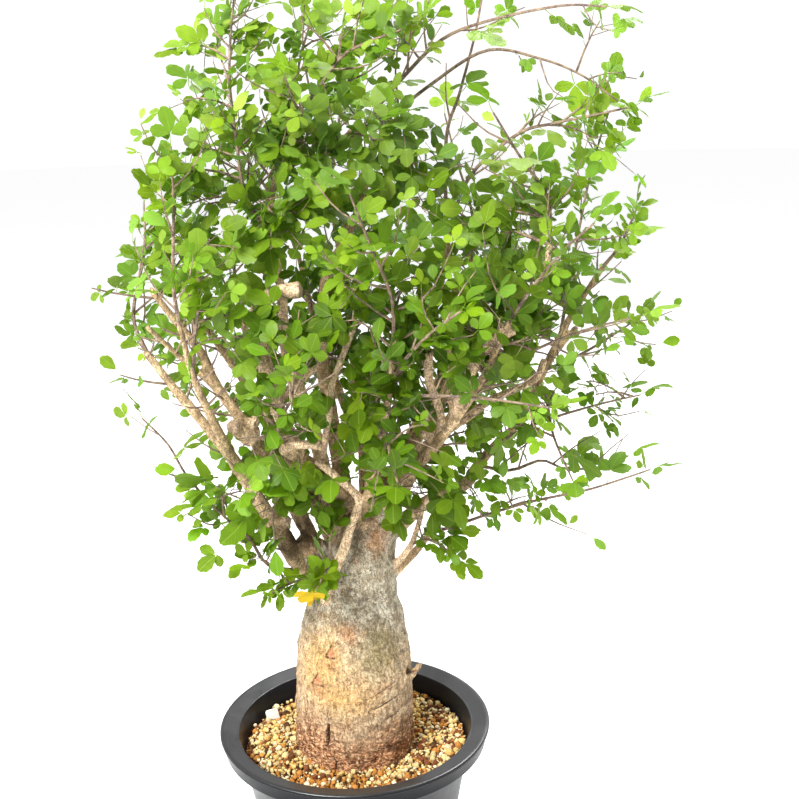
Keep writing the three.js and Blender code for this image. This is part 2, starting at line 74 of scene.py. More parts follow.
MM = 0.001
UP = np.array([0.0, 0.0, 1.0])
GOLDEN_ANGLE = math.pi * (3 - math.sqrt(5))

# Wood, as the solids have it

# The trunk's rings, from its buried foot to the fork: height, centre x, centre y, radius
TRUNK = [
    (104, 0, 0, 18),
    (110, 0, 0, 36),
    (128, 0, -1, 50),
    (158, -1, -2, 56),
    (190, -1, -2, 57.5),
    (235, 1, -2, 57.5),
    (280, 2, -1, 56.5),
    (302, 2, 0, 53.5),
    (324, 3, 0, 49),
    (346, 4, 0, 44.5),
    (364, 7, 0, 40),
    (388, 13, 0, 34),
    (408, 20, 0, 27),
    (428, 29, 0, 22),
    (448, 37, 0, 18),
    (462, 42, 2, 12),
]
TRUNK_GIRTH = 57.0  # the radius at which marks round the trunk are measured
LIMB_TAPER = 0.7

# Limbs that carry leaves: radius at the root and at the tip, how pale the bark is, and the points passed
LIMBS = [
    # The left shoulder, where the trunk parts
    (36, 11, 0.1, [(2, 0, 325), (-12, -4, 362), (-28, -8, 392), (-42, -12, 416)]),
    # The big left limb, the one inside it and its fork
    (12, 3.4, 0.45, [
        (-12, -5, 350), (-45, -15, 390), (-65, -20, 430), (-75, -25, 450), (-100, -30, 500),
        (-120, -40, 535), (-145, -50, 575), (-168, -55, 612),
    ]),
    (9, 3, 0.3, [
        (-20, -5, 375), (-45, -10, 440), (-72, -22, 500), (-86, -35, 535), (-110, -40, 575),
        (-122, -42, 608), (-142, -50, 640), (-158, -60, 668),
    ]),
    (3.8, 2.4, 0.4, [(-108, -40, 572), (-126, -48, 592), (-142, -64, 614), (-158, -86, 640)]),
    # The limb behind those
    (9, 2.8, 0.1, [
        (-8, 20, 375), (-32, 25, 440), (-56, 22, 488), (-82, 14, 548), (-114, 6, 605), (-140, 0, 648),
    ]),
    # The reddish limb that leans left across the fork
    (13, 6.5, 0.2, [(32, -5, 418), (14, -15, 446), (-8, -25, 470), (-26, -36, 492), (-42, -52, 515)]),
    # The pale limb up the middle and its fork
    (9, 2.2, 0.5, [
        (-6, 2, 395), (-24, 2, 500), (-40, 0, 562), (-50, 0, 600), (-51, 0, 655), (-60, 0, 708),
        (-54, 0, 742), (-42, 0, 782), (-30, 0, 812),
    ]),
    (2.6, 2.1, 0.6, [(-59, 0, 712), (-40, -6, 736), (-18, -16, 758), (6, -26, 782), (24, -34, 800)]),
    # The brown leader
    (10, 2.3, 0.1, [
        (8, 12, 385), (-3, 20, 460), (-14, 26, 540), (-19, 28, 592), (-12, 28, 655), (6, 28, 690),
        (24, 27, 728), (34, 26, 768), (40, 25, 812),
    ]),
    # The thick grey-brown limb, the brown one beside it and the one behind
    (13, 2.8, 0.15, [
        (36, 2, 430), (46, 10, 460), (58, 16, 490), (80, 26, 514), (104, 36, 552), (126, 46, 592),
        (146, 58, 640),
    ]),
    (9, 2.6, 0.1, [
        (32, 14, 420), (27, 28, 508), (34, 42, 546), (56, 52, 566), (82, 64, 600), (100, 76, 650),
        (108, 84, 700),
    ]),
    (8, 2.6, 0.1, [
        (36, 10, 440), (20, 24, 495), (4, 36, 525), (-14, 52, 570), (-30, 68, 625), (-40, 80, 672),
    ]),
    # The right limb, with the bare fork near its end
    (8, 2.8, 0.25, [
        (30, 8, 400), (80, 16, 440), (116, 22, 454), (128, 28, 470), (150, 38, 490), (170, 46, 508),
        (194, 50, 555), (214, 46, 600), (232, 42, 632), (250, 40, 660),
    ]),
    # Limbs at the back
    (12, 2.8, 0.2, [(0, 12, 378), (-30, 46, 440), (-66, 84, 505), (-96, 118, 572), (-112, 140, 635)]),
    (12, 2.8, 0.3, [(32, 12, 425), (62, 52, 485), (98, 92, 545), (124, 122, 612), (134, 138, 670)]),
    (11, 2.8, 0.1, [(22, 14, 420), (18, 56, 490), (10, 104, 560), (2, 132, 635), (-8, 146, 700)]),
    # Limbs that lean towards the viewer
    (6, 2.6, 0.4, [(-96, -29, 492), (-108, -62, 540), (-118, -102, 596), (-122, -132, 650)]),
    (6.5, 2.6, 0.3, [(58, -24, 476), (92, -70, 532), (124, -104, 590), (146, -126, 645)]),
    (7, 2.4, 0.3, [(20, -14, 430), (28, -60, 500), (44, -104, 572), (52, -134, 640)]),
    # The pale stem that rises at the right
    (5, 2.6, 0.9, [
        (108, 36, 558), (142, -30, 590), (165, -62, 618), (178, -76, 662), (184, -84, 708),
    ]),
]

# Pruned stubs and short bare branches, in the same terms
STUBS = [
    (4.6, 4, 0.85, [(-86, -35, 534), (-60, -46, 556), (-36, -60, 580), (-14, -70, 601)]),
    (5.5, 4, 1.0, [(-38, -46, 508), (-50, -62, 520), (-36, -70, 527), (-15, -76, 527)]),
    (4, 3, 0.9, [(-22, -34, 486), (-10, -60, 545), (-5, -70, 578), (5, -80, 605), (18, -94, 636)]),
    (7, 7, 0.7, [
        (-40, -50, 512), (-54, -68, 565), (-62, -86, 615), (-62, -98, 652), (-48, -106, 668),
        (-24, -110, 672),
    ]),
    # The pale flattened limb down the front of the trunk
    (6.5, 3.6, 0.95, [
        (-26, -36, 362), (-14, -40, 390), (-2, -41, 414), (6, -41, 440), (14, -38, 462),
        (-4, -46, 486), (-22, -55, 506),
    ]),
    # The pale right limb with its two arms and the stem beside them
    (10, 5.4, 0.9, [
        (38, -8, 440), (64, -28, 488), (84, -38, 515), (96, -40, 530), (106, -46, 548),
        (124, -58, 578),
    ]),
    (4.4, 3.4, 0.6, [
        (94, -40, 526), (116, -45, 541), (132, -50, 555), (152, -56, 566), (174, -60, 578),
        (182, -61, 596),
    ]),
    (3.6, 4.4, 0.8, [(82, -36, 510), (91, -50, 538), (86, -60, 562), (80, -72, 582), (80, -94, 614)]),
    # Short ones at the right of the trunk
    (3.6, 2.6, 0.7, [(42, -10, 380), (60, -16, 405), (68, -22, 428), (74, -26, 450), (82, -30, 464)]),
    (5, 3.6, 0.3, [(34, 0, 362), (58, 4, 384), (70, 8, 396), (82, 6, 412)]),
    (3.4, 3, 0.4, [(196, 50, 560), (208, 48, 578), (226, 44, 602)]),
    # Knobs and nubs
    (9, 6.5, 0.7, [(-82, -32, 524), (-92, -42, 534), (-97, -50, 540)]),
    (7, 5.5, 0.5, [(-64, -20, 428), (-58, -32, 440), (-54, -40, 444)]),
    (4.5, 3.2, 1.0, [(84, -38, 515), (77, -44, 524), (72, -47, 528)]),
    (4.5, 3.4, 1.0, [(104, -44, 544), (101, -52, 556), (99, -55, 561)]),
    (5, 5.5, 0.8, [(100, -76, 546), (112, -100, 590), (128, -112, 622), (150, -118, 636)]),
]

# Sprays that the photograph shows one by one
SHOWN_SPRAYS = [
    # The hanging branch at the left and the two tufts of young leaves under the fork
    [
        (-50, -18, 385), (-75, -32, 398), (-90, -42, 430), (-115, -54, 462), (-138, -66, 500),
        (-150, -76, 532), (-168, -88, 560),
    ],
    [(-16, -14, 372), (-44, -44, 386), (-68, -70, 386)],
    [(-12, -30, 380), (-18, -64, 400), (-26, -84, 394)],
    # The long low branch at the right and the tuft under it
    [
        (80, 7, 410), (98, 2, 416), (132, -4, 430), (180, -8, 445), (226, -12, 455), (264, -16, 468),
        (286, -20, 477),
    ],
    [(62, -16, 408), (80, -38, 420), (102, -46, 406)],
    # Twigs that reach out to the right
    [(128, 28, 470), (160, 22, 466), (190, 26, 474), (214, 28, 464), (252, 30, 464), (276, 32, 474)],
    [(150, 38, 490), (186, 16, 515), (240, 6, 534), (278, -4, 545)],
    [(196, 50, 558), (226, 32, 576), (258, 22, 598), (280, 16, 615)],
    [(250, 40, 660), (266, 42, 680), (280, 42, 712)],
    [(210, 46, 592), (224, 66, 655), (240, 68, 740), (256, 66, 800)],
    # Twigs along the top
    [(40, 25, 810), (66, 4, 838), (100, -6, 868), (140, -10, 882), (200, -18, 892), (238, -24, 890)],
    [(104, 80, 690), (104, 50, 780), (116, 42, 820), (130, 40, 868), (138, 40, 905)],
    [(36, 26, 790), (90, 30, 830), (140, 25, 858), (186, 18, 850), (222, 12, 835), (254, 8, 812)],
    [(108, 84, 698), (126, 30, 750), (165, 0, 786), (196, -12, 795), (232, -22, 802), (262, -30, 808)],
    [(-58, 0, 700), (-72, -50, 745), (-76, -60, 795), (-78, -62, 840), (-74, -62, 880), (-70, -60, 905)],
    [(-30, 0, 808), (-8, -22, 830), (14, -28, 856), (40, -34, 868), (66, -38, 876)],
]

# Loose leafy shoots that close the crown: where each ends, its leaves and their size
LOOSE_SHOOTS = [
    # Over the fork
    (-106, -75, 492, 7, 1.15), (-78, -85, 489, 8, 1.10), (-64, -65, 462, 8, 1.00), (-96, -70, 450, 3, 0.80),
    (-80, -60, 418, 5, 0.80), (-19, -62, 469, 7, 0.85), (-3, -62, 442, 7, 0.85), (-29, -60, 437, 8, 0.75),
    (-5, -100, 520, 7, 1.15), (-34, -90, 510, 6, 0.90), (55, -75, 502, 5, 1.05), (83, -70, 490, 9, 1.10),
    (48, -60, 464, 5, 0.95), (84, -50, 442, 9, 0.95), (68, -60, 473, 8, 1.00),
    # Left of the middle
    (-86, -95, 533, 8, 0.95), (-63, -105, 565, 7, 0.90), (-84, -100, 590, 10, 0.90),
    (-43, -110, 586, 9, 0.85), (-27, -105, 549, 9, 0.95), (-59, -100, 527, 7, 0.80),
    (-69, -115, 634, 10, 0.90), (-38, -120, 637, 10, 0.90),
    (-8, -125, 628, 10, 0.85), (17, -125, 650, 12, 0.90), (-25, -125, 658, 9, 0.85),
    (-56, -118, 651, 9, 0.85),
    # Upper left
    (-117, -70, 659, 10, 0.85), (-121, -60, 700, 10, 0.85), (-123, -50, 737, 11, 0.85),
    (-115, -50, 783, 11, 0.85), (-119, -40, 824, 6, 0.80), (-110, -40, 868, 6, 0.80),
    (-79, -50, 815, 9, 0.80), (-71, -30, 879, 7, 0.75), (-21, -20, 886, 4, 0.70),
    (-65, -100, 704, 10, 0.90), (-20, -105, 704, 10, 0.90), (4, -115, 676, 10, 0.90),
    (-44, -90, 731, 9, 0.85),
    # Middle
    (33, -125, 577, 9, 1.10), (10, -115, 557, 6, 0.95), (41, -110, 541, 5, 0.95), (15, -125, 588, 7, 0.90),
    (57, -115, 601, 11, 0.90), (76, -115, 630, 11, 0.90), (50, -120, 638, 11, 0.90),
    (96, -110, 641, 11, 0.95), (114, -105, 616, 9, 0.85), (102, -105, 667, 11, 0.95),
    (67, -110, 671, 11, 0.90), (71, -70, 700, 13, 0.90), (74, -60, 733, 13, 0.90), (73, -50, 765, 12, 0.85),
    (65, -50, 796, 11, 0.85), (40, -60, 788, 10, 0.85), (29, -40, 810, 9, 0.80), (93, -60, 715, 10, 0.85),
    (90, -50, 752, 9, 0.80),
    # Right
    (120, -60, 723, 10, 0.85), (144, -60, 708, 11, 0.85), (170, -50, 720, 11, 0.80),
    (184, -40, 745, 8, 0.75), (161, -60, 688, 10, 0.85), (167, -80, 652, 11, 0.85),
    (182, -80, 621, 10, 0.80), (198, -70, 649, 8, 0.75), (224, -40, 683, 8, 0.75), (230, -50, 618, 5, 0.70),
    (132, -95, 630, 11, 0.90), (149, -90, 655, 10, 0.85), (141, -80, 592, 10, 0.85),
    (174, -60, 572, 8, 0.75), (115, -75, 551, 6, 0.85), (134, -80, 565, 9, 0.85),
    (125, -60, 516, 4, 0.75), (166, -50, 528, 4, 0.65), (115, -40, 471, 6, 0.65),
    # Behind the fork
    (-83, 25, 442, 8, 0.80), (-62, 20, 420, 8, 0.80), (-44, 30, 449, 9, 0.80), (-69, 30, 471, 8, 0.80),
    (-26, 35, 459, 5, 0.80), (-102, 20, 473, 7, 0.80), (-18, 40, 429, 4, 0.80), (50, 30, 436, 3, 0.80),
    # Lower right
    (234, -20, 551, 7, 0.65), (200, -30, 564, 5, 0.70), (176, -40, 551, 8, 0.70), (126, -50, 529, 5, 0.80),
    (75, -40, 472, 10, 0.85), (63, -45, 455, 7, 0.80), (117, -30, 487, 8, 0.70), (145, -30, 472, 8, 0.65),
    (125, -20, 454, 5, 0.60), (240, -30, 600, 4, 0.65), (197, -50, 592, 8, 0.70),
    # Upper right
    (236, 0, 879, 6, 0.70), (241, -10, 815, 8, 0.75), (231, -10, 781, 9, 0.80),
    (249, 0, 765, 6, 0.70),
    # Along the top
    (16, 0, 885, 9, 0.80), (74, 0, 885, 10, 0.80), (3, 0, 870, 8, 0.80), (52, -20, 878, 9, 0.75),
    (-63, -20, 889, 7, 0.75), (-91, -40, 868, 5, 0.80),
    # Upper middle
    (-23, -60, 789, 11, 0.85), (-7, -70, 749, 11, 0.85), (-24, -80, 729, 12, 0.90),
    (-57, -80, 710, 10, 0.85), (-3, -60, 772, 10, 0.85), (-66, -50, 782, 8, 0.80),
    (-125, -40, 764, 9, 0.80), (-130, -50, 716, 9, 0.80), (-110, -50, 737, 9, 0.85),
    # Broad bright leaves in front of the fork
    (-111, -60, 489, 3, 1.35), (-71, -70, 484, 4, 1.45), (-52, -60, 489, 3, 1.10), (-5, -70, 510, 3, 1.25),
    (32, -80, 559, 3, 1.35), (-33, -70, 558, 3, 1.15),
    (-69, -60, 529, 2, 1.00), (48, -60, 483, 3, 1.15), (54, -50, 465, 3, 1.00), (89, -60, 496, 3, 1.30),
    (75, -55, 471, 3, 1.10), (-89, -40, 426, 3, 0.90), (-77, -45, 418, 3, 0.95),
    (-13, -55, 435, 4, 0.95), (-22, -50, 457, 4, 0.95), (1, -50, 452, 3, 0.85),
    (148, -50, 533, 3, 1.00),
    # More to the right
    (195, 0, 808, 6, 0.70), (230, -10, 562, 8, 0.65),
    (174, -20, 455, 6, 0.60), (192, -10, 446, 5, 0.55),
    # Before the upper right limb
    (129, -125, 610, 3, 0.95), (137, -130, 625, 3, 0.95), (146, -135, 643, 4, 0.90),
    (122, -130, 626, 3, 0.95), (113, -125, 616, 3, 0.90), (143, -115, 599, 3, 0.90),
    (155, -125, 626, 3, 0.85), (134, -110, 587, 2, 0.80), (137, -135, 649, 4, 0.90),
    (104, -110, 599, 2, 0.85),
]

# The crown's growth, by the same rules as the solids
CROWN_CENTRE = np.array([50.0, 0.0, 655.0])
CROWN_RADII = np.array([232.0, 222.0, 268.0])
CROWN_TARGETS = 42
CROWN_OPEN = 0.16
SPRAY_LENGTH = 150
TURN_COST = 90
TIP_WORTH = 45
SET_OFF = 0.14
ARCH_PLACE = 0.6
ARCH_RISE = 0.07
SPRAY_APART = 104
ROOTS_APART = 14
PERCH_TIP = 0.985
PERCHES = [0.5, 0.6, 0.7, 0.8, 0.9, PERCH_TIP]
TWIG_ROOT = 2.1
TWIG_TIP = 0.9
LEAF_SPACING = 84
LEAFY_SHARE = 0.72
LEAF_SMALLEST = 0.85
LEAF_RANGE = 0.35
LEAN_OFF = 0.7
LEAN_TIP = 3
LEAF_LIFT = 0.15
LEAF_DROOP = 130
LEAF_TURNS = 12
STALK = 13.0
LEAF_REACH = 24.0  # from the end of a stalk to the leaf's tip


# Curves and draws


class Curve:
    """A smooth curve through its stops, the same as the solids follow."""

    def __init__(self, stops):
        self.stops = np.array(stops, float)

    def points(self, shares):
        """The places at these shares of the way along, one row each."""
        stops = self.stops
        run_in = 2 * stops[0] - stops[1]
        run_out = 2 * stops[-1] - stops[-2]
        reach = np.vstack([run_in, stops, run_out])
        place = np.clip(np.atleast_1d(np.asarray(shares, float)), 0, 1) * (len(stops) - 1)
        span = np.minimum(place.astype(int), len(stops) - 2)
        t = (place - span)[:, None]
        before, start, end, after = (reach[span + k] for k in range(4))
        leave = (end - before) / 2
        arrive = (after - start) / 2
        square = 3 * (end - start) - 2 * leave - arrive
        cube = 2 * (start - end) + leave + arrive
        return start + leave * t + square * t**2 + cube * t**3

    def point(self, share):
        return self.points(share)[0]

    def tangents(self, shares):
        shares = np.atleast_1d(np.asarray(shares, float))
        way = self.points(np.minimum(shares + 1e-4, 1)) - self.points(np.maximum(shares - 1e-4, 0))
        return way / np.linalg.norm(way, axis=1)[:, None]

    def tangent(self, share):
        return self.tangents(share)[0]

    def length(self):
        return float(np.linalg.norm(np.diff(self.points(np.linspace(0, 1, 201)), axis=0), axis=1).sum())


def lerp(low, high, share):
    return low + (high - low) * share


def smooth_step(low, high, value):
    share = np.clip((value - low) / (high - low), 0, 1)
    return share * share * (3 - 2 * share)


def unit(way):
    return way / max(np.linalg.norm(way), 1e-9)


def sideways(tangent, angle):
    """A direction square to the tangent, turned about it from the level one."""
    level = unit(np.cross(tangent, UP))
    rising = np.cross(level, tangent)
    return level * math.cos(angle) + rising * math.sin(angle)


def tree_of(places):
    """A tree that finds which of these places is the nearest."""
    tree = kdtree.KDTree(len(places))
    for i, place in enumerate(places):
        tree.insert(place, i)
    tree.balance()
    return tree


def draws_from(seed):
    """The draws between 0 and 1 that the solids use."""
    state = seed
    while True:
        state = (state * 48271) % 2147483647
        yield state / 2147483647


def limb_radius(root, tip, along):
    return lerp(root, tip, np.power(along, LIMB_TAPER))


def twig_radius(along):
    return lerp(TWIG_ROOT, TWIG_TIP, along)


TRUNK_CURVE = Curve([(x, y, z) for z, x, y, _ in TRUNK])
WOOD = [(root, tip, tone, Curve(route)) for root, tip, tone, route in [*LIMBS, *STUBS]]


def trunk_radius(height):
    return np.interp(height, [ring[0] for ring in TRUNK], [ring[3] for ring in TRUNK])


def trunk_middle(height):
    heights = [ring[0] for ring in TRUNK]
    return [np.interp(height, heights, [ring[k] for ring in TRUNK]) for k in (1, 2)]


# Routes of the sprays


def crown_targets():
    """Points spread evenly over the crown, leaving it open round the trunk."""
    targets = []
    for i in range(CROWN_TARGETS):
        height = 1 - ((i + 0.5) / CROWN_TARGETS) * 2 * (1 - CROWN_OPEN)
        spread = math.sqrt(1 - height * height)
        way = np.array([spread * math.cos(i * GOLDEN_ANGLE), spread * math.sin(i * GOLDEN_ANGLE), height])
        targets.append(CROWN_CENTRE + way * CROWN_RADII)
    return targets


def reaching_route(target, perches, roots):
    """A route from the best free perch to a target: it sets off along the limb and arches over."""
    best = None
    for place, tangent, tip in perches:
        if any(np.linalg.norm(place - root) <= ROOTS_APART for root in roots):
            continue
        way = target - place
        reach = np.linalg.norm(way)
        turn = 1 - way @ tangent / reach
        score = abs(reach - SPRAY_LENGTH) + TURN_COST * turn - (TIP_WORTH if tip else 0)
        if best is None or score < best[0]:
            best = (score, place, tangent, way, reach)
    _, place, tangent, way, reach = best
    roots.append(place)
    first = place + tangent * reach * SET_OFF + way * SET_OFF
    middle = place + way * ARCH_PLACE + UP * reach * ARCH_RISE
    return [place, first, middle, target]


def spray_routes():
    """The shown sprays, then one for each target that none of them reaches."""
    shown = [np.array(route, float) for route in SHOWN_SPRAYS]
    roots = [route[0] for route in shown]
    perches = []
    for _, _, _, curve in WOOD[1 : len(LIMBS)]:
        for along in PERCHES:
            perches.append((curve.point(along), curve.tangent(along), along == PERCH_TIP))
    routes = list(shown)
    for target in crown_targets():
        if all(np.linalg.norm(route[-1] - target) > SPRAY_APART for route in shown):
            routes.append(reaching_route(target, perches, roots))
    return routes


# Settings


def colour_property(name, description, default):
    return bpy.props.FloatVectorProperty(
        name=name, description=description, default=default, size=3, subtype="COLOR", min=0, max=1
    )


def number_property(name, description, default, **limits):
    return bpy.props.FloatProperty(name=name, description=description, default=default, **limits)


def length_property(name, description, default):
    return number_property(name, description, default, unit="LENGTH", min=0)


def count_property(name, description, default, least):
    return bpy.props.IntProperty(name=name, description=description, default=default, min=least)


class PotSettings(bpy.types.PropertyGroup):
    rim_radius: length_property("Rim radius", "Outer radius of the rolled rim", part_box("pot")[1].x)
    height: length_property("Height", "From the floor to the top of the rim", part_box("pot")[1].z)
    bead: length_property("Bead", "Radius of the roll round the rim's outer edge", 0.0019)
    sides: count_property("Sides", "Facets round the pot", 144, 24)
    plastic: colour_property("Plastic", "Colour of the moulded plastic", (0.0075, 0.008, 0.0095))
    dust: colour_property("Dust", "Colour of the dry dust on upward faces", (0.30, 0.29, 0.28))
    roughness: number_property("Roughness", "Of clean plastic", 0.3, min=0, max=1, subtype="FACTOR")


class GravelSettings(bpy.types.PropertyGroup):
    grain: length_property("Grain", "Mean radius of a grain", 0.003)
    grains: count_property("Grains", "Loose grains on the bed", 2750, 0)
    pumice: colour_property("Pumice", "The commonest grain", (0.74, 0.585, 0.27))
    chalk: colour_property("Chalk", "The palest grain", (0.82, 0.73, 0.47))
    straw: colour_property("Straw", "Yellow grain", (0.70, 0.50, 0.17))
    ochre: colour_property("Ochre", "Orange grain", (0.52, 0.22, 0.045))
    lava: colour_property("Lava", "Red-brown grain", (0.17, 0.05, 0.02))
    humus: colour_property("Humus", "Dark grain and the gaps", (0.035, 0.018, 0.009))


class BarkSettings(bpy.types.PropertyGroup):
    voxel: length_property("Voxel", "Size of the cells that the limbs are grown together with", 0.0017)
    relief: number_property("Relief", "Scale of the bark's relief", 1.0, min=0)
    grey: colour_property("Grey", "Weathered upper bark", (0.33, 0.28, 0.19))
    silver: colour_property("Silver", "Paler parts of the upper bark", (0.60, 0.545, 0.42))
    sand: colour_property("Sand", "Darker parts of the trunk's bark", (0.43, 0.275, 0.15))
    cream: colour_property("Cream", "Paler parts of the trunk's bark", (0.57, 0.43, 0.265))
    golden: colour_property("Golden", "Smooth young bark at the trunk's front", (0.53, 0.325, 0.13))
    moss: colour_property("Moss", "Greenish film on the swelling", (0.235, 0.19, 0.08))
    red: colour_property("Red", "Fibrous bark at the foot", (0.45, 0.195, 0.08))
    rust: colour_property("Rust", "Rusty stains under scars and at the forks", (0.42, 0.19, 0.075))
    brown: colour_property("Brown", "Darker bark of the limbs", (0.37, 0.25, 0.13))
    fawn: colour_property("Fawn", "Paler bark of the limbs", (0.70, 0.50, 0.29))
    tan: colour_property("Tan", "Bark of the pale limbs", (0.80, 0.58, 0.37))
    cut: colour_property("Cut", "Weathered pruning cuts", (0.62, 0.44, 0.30))


class LeafSettings(bpy.types.PropertyGroup):
    blade: length_property("Blade", "Length of the end leaflet on a full leaf", 0.0255)
    thickness: length_property("Thickness", "Thickness of a blade at its rib", 0.0005)
    young: colour_property("Young", "Leaves at the tips", (0.30, 0.455, 0.014))
    grown: colour_property("Grown", "Grown leaves", (0.145, 0.275, 0.009))
    # Painted shade: leaves inside the crown are darkened towards this green
    deep: colour_property("Deep", "Leaves inside the crown", (0.020, 0.070, 0.0015))
    # Painted light: leaves high in the crown and at its sides are paled towards this green
    pale: colour_property("Pale", "Leaves high in the crown, full of light", (0.42, 0.56, 0.13))
    fading: colour_property("Fading", "The few leaves that are about to drop", (0.72, 0.48, 0.05))
    twig: colour_property("Twig", "Bark of the twigs", (0.10, 0.055, 0.042))


class LabelSettings(bpy.types.PropertyGroup):
    width: length_property("Width", "Width of the plate", 0.013)
    length: length_property("Length", "From the foot to the top", 0.052)
    thickness: length_property("Thickness", "Thickness of the plate", 0.0009)
    plastic: colour_property("Plastic", "Colour of the plate", (0.83, 0.81, 0.77))


class StudioSettings(bpy.types.PropertyGroup):
    camera_place: bpy.props.FloatVectorProperty(
        name="Camera",
        description="Where the camera stands",
        default=(0.054, -1.083, 0.841),
        subtype="XYZ",
        unit="LENGTH",
    )
    camera_pitch: number_property("Pitch", "How far it looks down", math.radians(15.22), subtype="ANGLE")
    camera_roll: number_property("Roll", "Roll of the camera", math.radians(-1.65), subtype="ANGLE")
    focal: number_property("Focal length", "In millimetres", 54.07, min=1)
    sky: number_property("Sky", "Strength of the white surroundings", 1.1)
    key: number_property("Key", "Power of the key light", 114, unit="POWER")
    ceiling: number_property("Ceiling", "Strength of the surroundings overhead", 0.5, min=0)
    floor: colour_property("Floor", "Colour of the floor", (0.85, 0.85, 0.85))
    glow: number_property("Glow", "Light of the floor itself", 0.5, min=0)


# Objects


def select_only(piece):
    bpy.ops.object.select_all(action="DESELECT")
    piece.select_set(True)
    bpy.context.view_layer.objects.active = piece


def apply_modifier(piece, kind, **settings):
    """Adds a modifier with these settings and applies it."""
    select_only(piece)
    modifier = piece.modifiers.new(kind.title(), kind)
    for name, value in settings.items():
        setattr(modifier, name, value)
    bpy.ops.object.modifier_apply(modifier=modifier.name)


def edit_all():
    """Goes into edit mode with everything selected."""
    bpy.ops.object.mode_set(mode="EDIT")
    bpy.ops.mesh.select_all(action="SELECT")


def joined(pieces, name):
    """Joins pieces into one under this name."""
    bpy.ops.object.select_all(action="DESELECT")
    for piece in pieces:
        piece.select_set(True)
    bpy.context.view_layer.objects.active = pieces[0]
    bpy.ops.object.join()
    whole = bpy.context.object
    whole.name = name
    whole.data.name = name
    return whole


def settle(piece):
    """Puts the object at the origin, with its place in its mesh."""
    select_only(piece)
    bpy.ops.object.transform_apply(location=True, rotation=True, scale=True)


def smooth_below(piece, degrees):
    select_only(piece)
    bpy.ops.object.shade_smooth_by_angle(angle=math.radians(degrees))


def hand_over(piece, name, slot, *nodes):
    """Names a finished piece, lets it ride on the one body and lets it stand for these solids."""
    piece.name = name
    piece.data.name = name
    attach(piece, "root")
    if nodes:
        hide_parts(*nodes)


def set_materials(piece, *materials):
    piece.data.materials.clear()
    for material in materials:
        piece.data.materials.append(material)


def linked(data):
    """An object in the scene with this mesh or curve, under its name."""
    piece = bpy.data.objects.new(data.name, data)
    bpy.context.collection.objects.link(piece)
    return piece


def paint(mesh, name, colours, domain="POINT"):
    layer = mesh.color_attributes.new(name, "FLOAT_COLOR", domain)
    layer.data.foreach_set("color", colours.astype(np.float32).ravel())


def mesh_places(mesh, attribute="co"):
    places = np.empty(len(mesh.vertices) * 3, np.float32)
    mesh.vertices.foreach_get(attribute, places)
    return places.reshape(-1, 3).astype(float)


# Shader nodes


class Shades:
    """A material that is built node by node. Values that are sockets are linked, and others are set.

    Scales of noise are in features per metre, and a ramp's limits are in the terms of what it reads.
    """

    def __init__(self, name):
        self.material = bpy.data.materials.new(name)
        self.material.use_nodes = True
        self.tree = self.material.node_tree
        self.tree.nodes.clear()

    def node(self, kind, values=None, **settings):
        made = self.tree.nodes.new("ShaderNode" + kind)
        for name, value in settings.items():
            setattr(made, name, value)
        for key, value in (values or {}).items():
            socket = made.inputs[key]
            if isinstance(value, bpy.types.NodeSocket):
                self.tree.links.new(value, socket)
            else:
                socket.default_value = (*value[:3], 1) if socket.type == "RGBA" else value
        return made

    def place(self):
        return self.node("TexCoord").outputs["Object"]

    def scaled(self, vector, scale):
        return self.node("Mapping", {"Vector": vector, "Scale": scale}).outputs[0]

    def noise(self, vector, scale, detail=4, roughness=0.55, distortion=0.0):
        values = {"Vector": vector, "Scale": scale, "Detail": detail}
        values.update({"Roughness": roughness, "Distortion": distortion})
        return self.node("TexNoise", values).outputs[0]

    def ramp(self, share, low, high, start=0.0, end=1.0):
        values = {"Value": share, "From Min": low, "From Max": high, "To Min": start, "To Max": end}
        return self.node("MapRange", values).outputs[0]

    def maths(self, operation, first, second):
        return self.node("Math", {0: first, 1: second}, operation=operation).outputs[0]

    def times(self, first, second):
        return self.maths("MULTIPLY", first, second)

    def mix(self, share, first, second):
        """Mixes two colours by a share."""
        return self.node("Mix", {0: share, 6: first, 7: second}, data_type="RGBA").outputs[2]

    def brighten(self, colour, factor):
        """A colour times a factor, which may be over 1."""
        return self.node("VectorMath", {0: colour, "Scale": factor}, operation="SCALE").outputs[0]

    def bump(self, height, strength, distance):
        values = {"Height": height, "Strength": strength, "Distance": distance}
        return self.node("Bump", values).outputs[0]

    def surface(self, shader):
        """Ends the material with this shader."""
        self.node("OutputMaterial", {"Surface": shader})
        return self.material

    def coat(self, values):
        """Ends the material with one opaque coat of these values."""
        return self.surface(self.node("BsdfPrincipled", values).outputs[0])


# Pot


POT_WALL = 2.4
POT_FLOOR = 3.4  # thickness of the floor
POT_BASE = 79.0
RING_INNER = 116.6
RING_DROP = 4.6
SKIRT_DEPTH = 18.0
DRAIN_HOLES = 4
DRAIN_RADIUS = 7.0
DRAIN_CIRCLE = 46.0
SOIL_HEIGHT = 187.0


def inside_radius(height, pot_height):
    share = (height - POT_FLOOR) / (pot_height - RING_DROP - POT_FLOOR)
    return lerp(POT_BASE - POT_WALL, RING_INNER - 1, share)


def arc(across, up, radius, start, end, steps):
    """Stations round part of a circle, in degrees from straight outwards."""
    angles = np.radians(np.linspace(start, end, steps))
    return [(across + radius * math.cos(a), up + radius * math.sin(a)) for a in angles]


